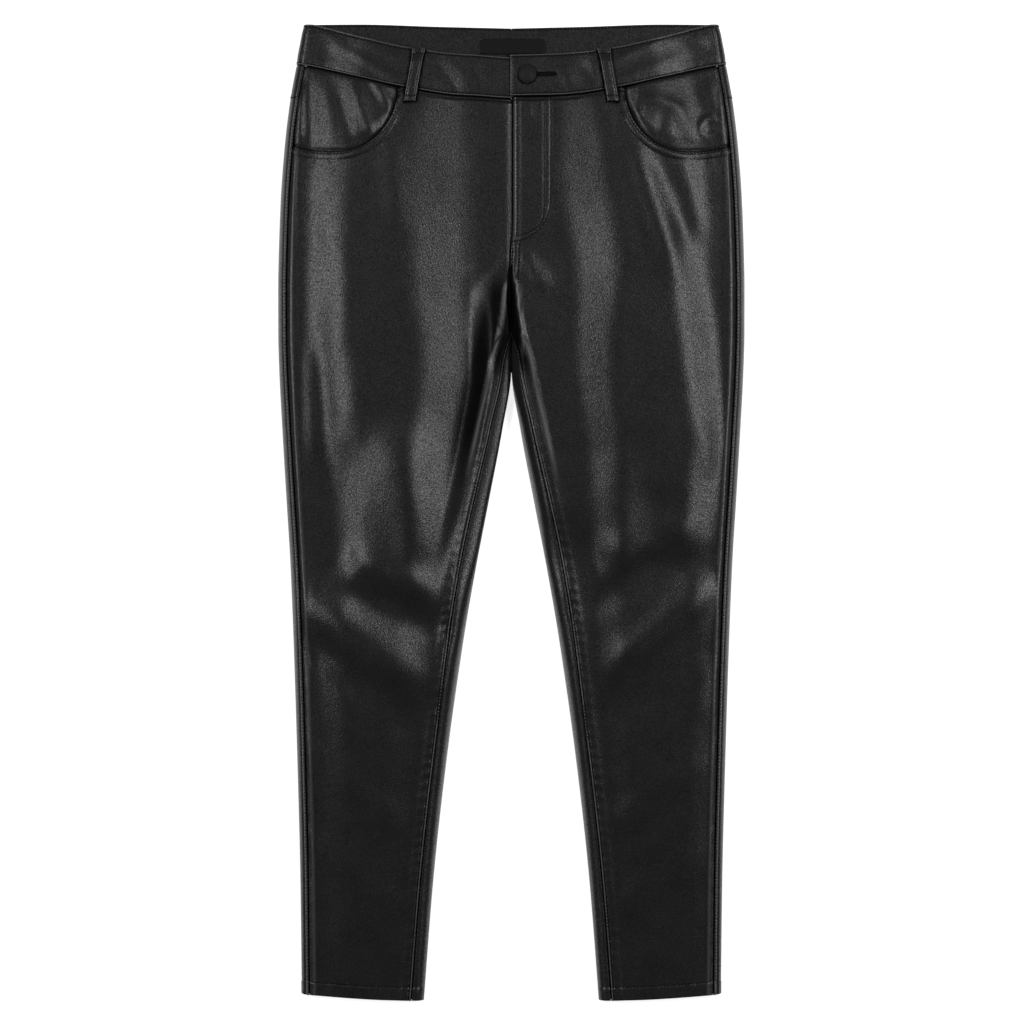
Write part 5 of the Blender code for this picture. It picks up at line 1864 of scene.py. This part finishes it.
@dataclass
class PocketFacings:
    """The side pieces behind the scooped mouths of the front pockets."""

    finishes: Finishes
    under: float = 9.0
    fade: float = 16.0
    flat: Point = (0.118, 0.100)
    cut_area: float = 0.0082
    rows: int = 52
    columns: int = 56
    dimple: Point = (197.5, 106.5)

    def _depth(self, half: Array, down: Array) -> Array:
        """How far the facing lies beneath the skin, the same as its solid."""
        share = (SIZES.pocket_low - half) / (SIZES.pocket_low - SIZES.pocket_start)
        mouth = SIZES.pocket_top + SIZES.pocket_deep * np.sqrt(np.clip(1 - share**2, 0, 1))
        mouth = np.where(half >= SIZES.pocket_low, FORM.pocket_foot(half), mouth)
        from_start = half - SIZES.pocket_start
        clear = np.where(from_start > 0, np.minimum(mouth - down, from_start), -1.0)
        return (SIZES.panel_wall + SIZES.under_gap) * fade(clear, 0, self.fade)

    def build(self, side: Side) -> bpy.types.Object:
        """Builds one facing."""
        share = np.linspace(0, 1, self.columns + 1)
        scoop_end = 2 / 3
        turn = QUARTER * np.clip(share / scoop_end, 0, 1)
        scoop_half, scoop_down = FORM.pocket_point(turn, self.under)
        foot_down = SIZES.pocket_top + SIZES.pocket_deep
        end = float(FORM.side_seam(np.array(foot_down))) - SIZES.gap / 2
        beyond = np.clip((share - scoop_end) / (1 - scoop_end), 0, 1)
        foot_half = mix(SIZES.pocket_low, end, beyond**0.8)
        on_scoop = share <= scoop_end
        low_half = np.where(on_scoop, scoop_half, foot_half)
        low_down = np.where(on_scoop, scoop_down, FORM.pocket_foot(foot_half, self.under))
        high_end = float(FORM.side_seam(np.array(44.0))) - SIZES.gap / 2
        high_half = mix(low_half[0], high_end, share**0.9)
        high_down = FORM.band_edge("seam", np.zeros(len(share)), high_half) + SIZES.gap
        up = np.linspace(0, 1, self.rows + 1)
        up = (up**1.25)[:, None]
        down = mix(low_down, high_down, up)
        half = mix(low_half, high_half, up)
        half[:, -1] = FORM.side_seam(down[:, -1]) - SIZES.gap / 2
        ring = FORM.front_ring(down, half)
        x = side.value * half
        depth = self._depth(half, down)
        off_band, off_side = down - high_down, FORM.side_seam(down) - half
        off_mouth = FORM.off_pocket(half, down)
        clear = smooth(-off_mouth / 6)
        out = clear * creased(FACING_CREASES, x, down)
        out += swell(off_band, 0.0, 2.0, -0.8) + swell(off_side, 0.0, 2.2, -0.7)
        if side is Side.LEFT:
            off_x, off_down = x - self.dimple[0], down - self.dimple[1]
            away = np.hypot(off_x, off_down * 0.9)
            facing = 0.55 - 0.45 * (off_x + off_down) / (away + 2.0)
            out += clear * (swell(away, 0.0, 5.0, -1.0) + facing * swell(away, 9.0, 3.0, 1.0))
        mouth = swell(off_mouth, -0.6, 1.7, -1.2)
        outer = FORM.place(side, down, ring, out + mouth - depth)
        inner = FORM.place(side, down, ring, mouth - depth - SIZES.panel_wall)
        wall = Patchwork(side)
        # Painted shade along the pocket's mouth, the band seam and the side seam.
        near = np.minimum(np.minimum(off_band, off_side), -off_mouth)
        wall.add(outer, inner, painted_shade_and_highlight=fade(near, 0.3, 1.5))
        name = f"facing_{side.word}"
        made = wall.piece(name, self.finishes.leather, f"pocket_facing_{side.word}")
        return made


# ---------------------------------------------------------------- belt loops


class LoopPlace(NamedTuple):
    """Where a belt loop's middle line runs, and the name of its node."""

    node: str
    on_front: bool
    x_top: float
    down_top: float
    x_bottom: float
    down_bottom: float

    @property
    def side(self) -> Side:
        """The side of the garment that it is on."""
        return Side.LEFT if self.x_top >= 0 else Side.RIGHT

    def middle(self, t: Array) -> tuple[Array, Array]:
        """(X, down) of its middle line at a share of the way down it."""
        return mix(self.x_top, self.x_bottom, t), mix(self.down_top, self.down_bottom, t)


LOOPS = (
    LoopPlace("belt_loop_front_right", True, -92.2, 26.2, -101.2, 80.5),
    LoopPlace("belt_loop_front_left", True, 92.2, 26.2, 101.2, 80.5),
    LoopPlace("belt_loop_back_right", False, -118.0, 1.8, -121.0, 54.0),
    LoopPlace("belt_loop_back_centre", False, 0.0, 4.6, 0.0, 57.0),
    LoopPlace("belt_loop_back_left", False, 118.0, 1.8, 121.0, 54.0),
)


@dataclass
class BeltLoops:
    """Folded straps sewn to the band at both ends."""

    finishes: Finishes
    plain_width: float = 12.0
    flare: float = 2.0
    arch: float = 2.4
    row_in: float = 2.1
    tacked: float = 5.6
    flat: Point = (0.014, 0.056)
    insets: tuple[float, ...] = (0, 0.12, 0.3, 0.6, 0.95, 1.3, 1.7, 2.1, 2.5, 3.2)
    ends: tuple[float, ...] = (0, 0.15, 0.35, 0.7, 1.2, 2.0, 3.0, 4.2, 5.0, 5.6, 6.2, 7.0, 8.0)
    middle_rows: int = 36
    stitch: Stitch = Stitch(pitch=3.0, length=1.9, thick=0.8)

    @staticmethod
    def width(t: Array) -> Array:
        """Width of a strap at a share of the way down it: it flares to its top."""
        return BeltLoops.plain_width + BeltLoops.flare * fade(t, 0, 0.25)

    @staticmethod
    def raised(t: Array) -> Array:
        """How far a strap arches off the band at a share of the way down it."""
        return BeltLoops.arch * smooth(np.minimum(t, 1 - t) / 0.3)

    @staticmethod
    def shade(x: Array, down: Array) -> Array:
        """How much of the light the front loops keep off the leather beside them."""
        total = np.zeros(np.broadcast(x, down).shape)
        for place in LOOPS:
            if place.on_front:
                length = place.down_bottom - place.down_top
                t = (down - place.down_top) / length
                beside = np.maximum(np.abs(x - place.middle(t)[0]) - BeltLoops.width(t) / 2, 0.0)
                past = np.maximum(np.abs(t - 0.5) - 0.5, 0.0) * length
                total += fade(np.hypot(beside, past), 0.2, 1.9)
        return total

    def _grid(self, place: LoopPlace) -> tuple[Array, Array, Array, Array, Array]:
        """X, down and the distances from the ends and edges of a strap's points, and shares down it."""
        length = math.hypot(place.x_bottom - place.x_top, place.down_bottom - place.down_top)
        share, lead = crowded(self.ends, self.middle_rows)
        inset = self.ends[-1]
        along = mix(inset, length - inset, share) - lead
        t = (1 - along / length)[:, None]
        half_wide = self.width(t) / 2
        across_share, across_lead = crowded(self.insets, 4)
        edge_inset = self.insets[-1]
        across = mix(edge_inset - half_wide, half_wide - edge_inset, across_share) - across_lead
        middle, down = place.middle(t)
        from_end = np.minimum(along, length - along)[:, None]
        return middle + across, down * np.ones_like(across), from_end, half_wide - np.abs(across), t

    def build(self, place: LoopPlace) -> bpy.types.Object:
        """Builds one loop."""
        x, down, from_end, from_edge, t = self._grid(place)
        edge = np.minimum(from_end, from_edge)
        turned = 0.9 * (1 - quarter(edge, 0.9))
        if place.on_front:
            base = SIZES.band_raise + SIZES.gap + self.raised(t)
            rows = swell(from_edge, self.row_in, 0.6, -0.22) + 0.12 * smooth((from_edge - 2.2) / 2)
            ends = 0.35 * fade(from_end, 5.0, 1.6) + swell(from_end, self.tacked, 0.7, -0.35)
        else:
            base, rows, ends = SIZES.band_lift - SIZES.loop_wall, 0.0, 0.0
        top = base + SIZES.loop_wall + rows + ends - turned
        foot = base + turned
        if place.on_front:
            ring = FORM.front_ring(down, place.side.value * x)
            outer = FORM.place(place.side, down, ring, top)
            inner = FORM.place(place.side, down, ring, foot)
        else:
            lift = FORM.lift(down)
            outer = np.stack((x, SIZES.waist_y - down, lift - top), axis=-1)
            inner = np.stack((x, SIZES.waist_y - down, lift - foot), axis=-1)
        wall = Patchwork(Side.LEFT if place.on_front else Side.RIGHT)
        # Painted shade at the strap's edges and bar tacks, and a painted highlight beside its edges.
        deep = fade(edge, 0.1, 0.6) + swell(from_end, self.tacked, 0.6, 0.7)
        deep += ridged(from_edge, Ridge(self.row_in, 0.45, 0.15), Ridge(1.1, 0.4, -0.6))
        wall.add(outer, inner, painted_shade_and_highlight=np.clip(deep, -1.0, 1.0))
        name = place.node.removeprefix("belt_")
        made = wall.piece(name, self.finishes.leather, place.node)
        return made

    def seams(self, place: LoopPlace) -> list[Seam]:
        """The two rows of stitches along a front loop."""
        t = np.linspace(0.06, 0.96, 60)
        middle, down = place.middle(t)
        out = SIZES.band_raise + SIZES.gap + self.raised(t) + SIZES.loop_wall - 0.02
        rows = []
        for edge in (-1, 1):
            x = middle + edge * (self.width(t) / 2 - self.row_in)
            seam = on_front(place.side, place.side.value * x, down, out)
            seam.stitch = self.stitch
            rows.append(seam)
        return rows


# ---------------------------------------------------------------- button and buttonhole


class Turned(NamedTuple):
    """A ring of the button's turned shape."""

    radius: float
    height: float


@dataclass
class WaistButton:
    """A covered button on its shank, in a keyhole buttonhole with whipped lips."""

    finishes: Finishes
    sewing: Sewing
    x: float = 16.0
    down: float = 52.9
    reach: float = 8.8
    slit_end: float = 45.0
    slit_rise: float = 0.8
    slit_wide: float = 1.1
    eyelet: float = 5.0
    cut_deep: float = 9.0
    lip: float = 1.5
    sides: int = 56
    waves: int = 9
    wave_low: float = 0.0048
    wave_high: float = 0.0072
    profile: tuple[Turned, ...] = (
        Turned(1.7, -2.4),
        Turned(1.7, 0.3),
        Turned(7.4, 0.3),
        Turned(8.3, 0.55),
        Turned(8.8, 1.1),
        Turned(9.0, 1.8),
        Turned(8.9, 2.35),
        Turned(8.55, 2.7),
        Turned(8.1, 2.72),
        Turned(7.75, 2.68),
        Turned(7.5, 2.85),
        Turned(7.1, 3.15),
        Turned(6.2, 3.55),
        Turned(4.8, 3.9),
        Turned(3.0, 4.15),
        Turned(1.3, 4.27),
    )

    def _seat(self) -> tuple[Array, Array]:
        """The middle of the button's underside and the direction that it faces."""
        ring = FORM.front_ring(self.down, self.x)
        out = SIZES.band_raise + SIZES.band_wall + SIZES.gap
        foot = FORM.place(Side.LEFT, self.down, ring, out)
        return foot, FORM.place(Side.LEFT, self.down, ring, out + 1.0) - foot

    def build(self) -> bpy.types.Object:
        """Models the button ring by ring, from its shank to the top of its dome."""
        deselect()
        first = self.profile[0]
        radius = first.radius * MM
        bpy.ops.mesh.primitive_circle_add(vertices=self.sides, radius=radius, fill_type="NGON")
        made = bpy.context.object
        made.name = made.data.name = "button"
        bpy.ops.object.mode_set(mode="EDIT")
        bpy.ops.mesh.select_all(action="SELECT")
        bpy.ops.transform.translate(value=(0, 0, first.height * MM))
        for before, ring in zip(self.profile, self.profile[1:]):
            rise = (ring.height - before.height) * MM
            bpy.ops.mesh.extrude_region_move(TRANSFORM_OT_translate={"value": (0, 0, rise)})
            grow = ring.radius / before.radius
            bpy.ops.transform.resize(value=(grow, grow, 1), center_override=(0, 0, ring.height * MM))
        bpy.ops.mesh.select_all(action="SELECT")
        bpy.ops.mesh.normals_make_consistent(inside=False)
        bpy.ops.object.mode_set(mode="OBJECT")
        foot, facing = self._seat()
        across = np.cross((0, 1, 0), facing)
        across /= np.linalg.norm(across)
        turn = np.stack((across, np.cross(facing, across), facing))
        for vert in made.data.vertices:
            spot = np.array(vert.co)
            uneven = self.wave_low if spot[2] / MM < 1.0 else self.wave_high
            spot[:2] *= 1 + uneven * math.sin(self.waves * math.atan2(spot[1], spot[0]))
            vert.co = spot @ turn + foot * MM
        made.data.materials.append(self.finishes.button)
        made.select_set(True)
        bpy.ops.object.shade_smooth_by_angle(angle=math.radians(60))
        return dress(made, ["waist_button"])

    def cut(self, band: bpy.types.Object) -> None:
        """Cuts the slit and the eyelet of the buttonhole through the band."""
        foot, facing = self._seat()
        end_down = self.down - self.slit_rise
        end = FORM.place(Side.LEFT, end_down, FORM.front_ring(end_down, self.slit_end), 3.0)
        along = end - foot
        length = float(np.linalg.norm(along))
        slit, eyelet = (length, self.slit_wide), (self.eyelet, self.eyelet)
        for size, shift in ((slit, length / 2), (eyelet, 0.0)):
            deselect()
            bpy.ops.mesh.primitive_cube_add(size=1)
            cutter = bpy.context.object
            across = np.cross(facing, along / length)
            axes = np.stack((along / length * size[0], across * size[1], facing * self.cut_deep))
            middle = foot + along / length * shift
            for vert in cutter.data.vertices:
                vert.co = (np.array(vert.co) @ axes + middle) * MM
            deselect()
            band.select_set(True)
            bpy.context.view_layer.objects.active = band
            hole = band.modifiers.new("buttonhole", "BOOLEAN")
            hole.operation, hole.object = "DIFFERENCE", cutter
            bpy.ops.object.modifier_apply(modifier=hole.name)
            bpy.data.objects.remove(cutter)

    def whip(self) -> bpy.types.Object:
        """Whips the lips of the buttonhole with close stitches."""
        begin, end = self.x + 8.6, self.slit_end + 0.4
        line = np.linspace(begin, end - self.lip, 30)
        turn = np.linspace(-QUARTER, QUARTER, 20)[1:-1]
        slope = self.slit_rise / (self.slit_end - self.x)
        half = np.concatenate((line, end - self.lip + self.lip * np.cos(turn), line[::-1]))
        rise = np.concatenate((np.full(30, -self.lip), self.lip * np.sin(turn), np.full(30, self.lip)))
        down = self.down - slope * (half - self.x) - rise
        out = SIZES.band_raise + SIZES.band_wall + SIZES.gap + 0.45
        seam = on_front(Side.LEFT, half, down, out)
        seam.stitch = Stitch(pitch=0.7, length=2.3, thick=0.8)
        return self.sewing.sew("buttonhole_lips", [seam], across=True)


# ---------------------------------------------------------------- labels


class LabelPlace(NamedTuple):
    """A bare label inside the back band."""

    node: str
    x_from: float
    x_to: float
    down_from: float
    down_to: float
    corner: float


LABELS = (
    LabelPlace("waist_label", -31.4, 34.4, 14.5, 30.0, 2.0),
    LabelPlace("size_tab", -5.5, 6.5, 30.3, 40.0, 0.0),
)


@dataclass
class WaistLabels:
    """Bare satin labels on the inner face of the back band."""

    finishes: Finishes
    thick: float = 0.7
    caught: float = 1.0
    corner_wide: float = 5.0

    def build(self, place: LabelPlace) -> bpy.types.Object:
        """Builds one label, slightly bowed, its edges thin."""
        wide = place.x_to - place.x_from
        x = np.linspace(place.x_from, place.x_to, 49 if wide > 20 else 13)
        from_end = np.minimum(x - place.x_from, place.x_to - x)
        top = place.down_from + place.corner * (1 - np.clip(from_end / self.corner_wide, 0, 1))
        up = np.array((0, 0.03, 0.08, 0.2, 0.4, 0.6, 0.8, 0.92, 0.97, 1.0))[:, None]
        down = mix(place.down_to, top, up)
        height = FORM.lift(down) + SIZES.band_wall - SIZES.band_raise + SIZES.gap
        bow = 0.12 * np.sin(x / 6.0) + 0.1 * np.sin(x / 2.7 + 1)
        edge = np.minimum(from_end, np.minimum(down - top, place.down_to - down))
        rim = self.thick * (0.55 + 0.45 * quarter(edge, 0.7)) + (bow * smooth(edge / 3) + 0.12)
        y = SIZES.waist_y - down
        spread_x = np.broadcast_to(x, down.shape)
        wall = Patchwork(Side.LEFT)
        outer, inner = (np.stack((spread_x, y, z), axis=-1) for z in (height + rim, height))
        wall.add(outer, inner)
        made = wall.piece(place.node + "_satin", self.finishes.satin, place.node)
        return made


# ---------------------------------------------------------------- studio


@dataclass
class Softbox:
    """A large soft light aimed at the garment. Its size is its length round it and its depth."""

    name: str
    place: tuple[float, float, float]
    size: Point
    radiance: float

    def build(self) -> None:
        """Adds the light."""
        light = bpy.data.lights.new(self.name, "AREA")
        light.shape = "RECTANGLE"
        light.size, light.size_y = self.size
        light.energy = self.radiance * math.pi * self.size[0] * self.size[1]
        made = bpy.data.objects.new(self.name, light)
        bpy.context.scene.collection.objects.link(made)
        made.location = self.place
        made.rotation_euler = Vector(self.place).to_track_quat("Z", "Y").to_euler()


@dataclass
class Studio:
    """A plain pale floor, soft lights and a camera that looks straight down."""

    finishes: Finishes
    camera_height: float = 3.0
    lens: float = 105.1
    centre_x: float = 0.00065
    world: float = 0.05
    lights: tuple[Softbox, ...] = (
        Softbox("softbox_left", (-1.65, 0.35, 2.4), (1.6, 0.6), 6.2),
        Softbox("softbox_right", (1.65, 0.35, 2.4), (1.7, 0.6), 6.4),
        Softbox("softbox_upper_left", (-1.3, 1.5, 2.2), (0.7, 0.5), 5.2),
        Softbox("softbox_upper_right", (1.15, 1.4, 2.4), (0.8, 0.5), 6.5),
    )

    def build(self) -> None:
        """Adds the floor, the lights, the world and the camera."""
        deselect()
        bpy.ops.mesh.primitive_plane_add(size=12.0, location=(0, 0, -0.0003))
        floor = bpy.context.object
        floor.name = "floor"
        floor.data.materials.append(self.finishes.floor)
        for light in self.lights:
            light.build()
        world = bpy.data.worlds.new("studio")
        world.use_nodes = True
        world.node_tree.nodes["Background"].inputs["Color"].default_value = (self.world,) * 3 + (1.0,)
        bpy.context.scene.world = world
        bpy.context.scene.view_settings.view_transform = "Standard"
        camera = bpy.data.cameras.new("camera")
        camera.lens = self.lens
        made = bpy.data.objects.new("camera", camera)
        bpy.context.scene.collection.objects.link(made)
        made.location = (self.centre_x, 0.0, self.camera_height)
        bpy.context.scene.camera = made


# ---------------------------------------------------------------- all of it


def main() -> None:
    """Dresses the frame piece by piece and sets up the studio."""
    logging.basicConfig(level=logging.INFO, format="%(name)s: %(message)s", stream=sys.stdout)
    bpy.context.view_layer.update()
    finishes = Finishes()
    sewing = Sewing(finishes.thread)
    fronts, backs = FrontPanels(finishes), BackPanels(finishes)
    waistband, facings = Waistband(finishes), PocketFacings(finishes)
    loops, button, labels = BeltLoops(finishes), WaistButton(finishes, sewing), WaistLabels(finishes)
    bands = {}
    for side in Side:
        backs.build(side)
        backs.build_yoke(side)
        facings.build(side)
        fronts.build(side)
        bands[side] = waistband.build(side)
        sewing.sew(f"thread_leg_{side.word}", fronts.seams(side) + backs.seams(side))
        sewing.sew(f"thread_band_{side.word}", waistband.seams(side))
    for place in LOOPS:
        loops.build(place)
    front_loops = [place for place in LOOPS if place.on_front]
    sewing.sew("thread_loops", [seam for place in front_loops for seam in loops.seams(place)])
    button.cut(bands[Side.LEFT])
    button.build()
    button.whip()
    for place in LABELS:
        labels.build(place)
    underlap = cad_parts["fly_underlap"]
    for slot in underlap.material_slots:
        slot.material = finishes.inside
    Studio(finishes).build()


if __name__ == "__main__":
    main()
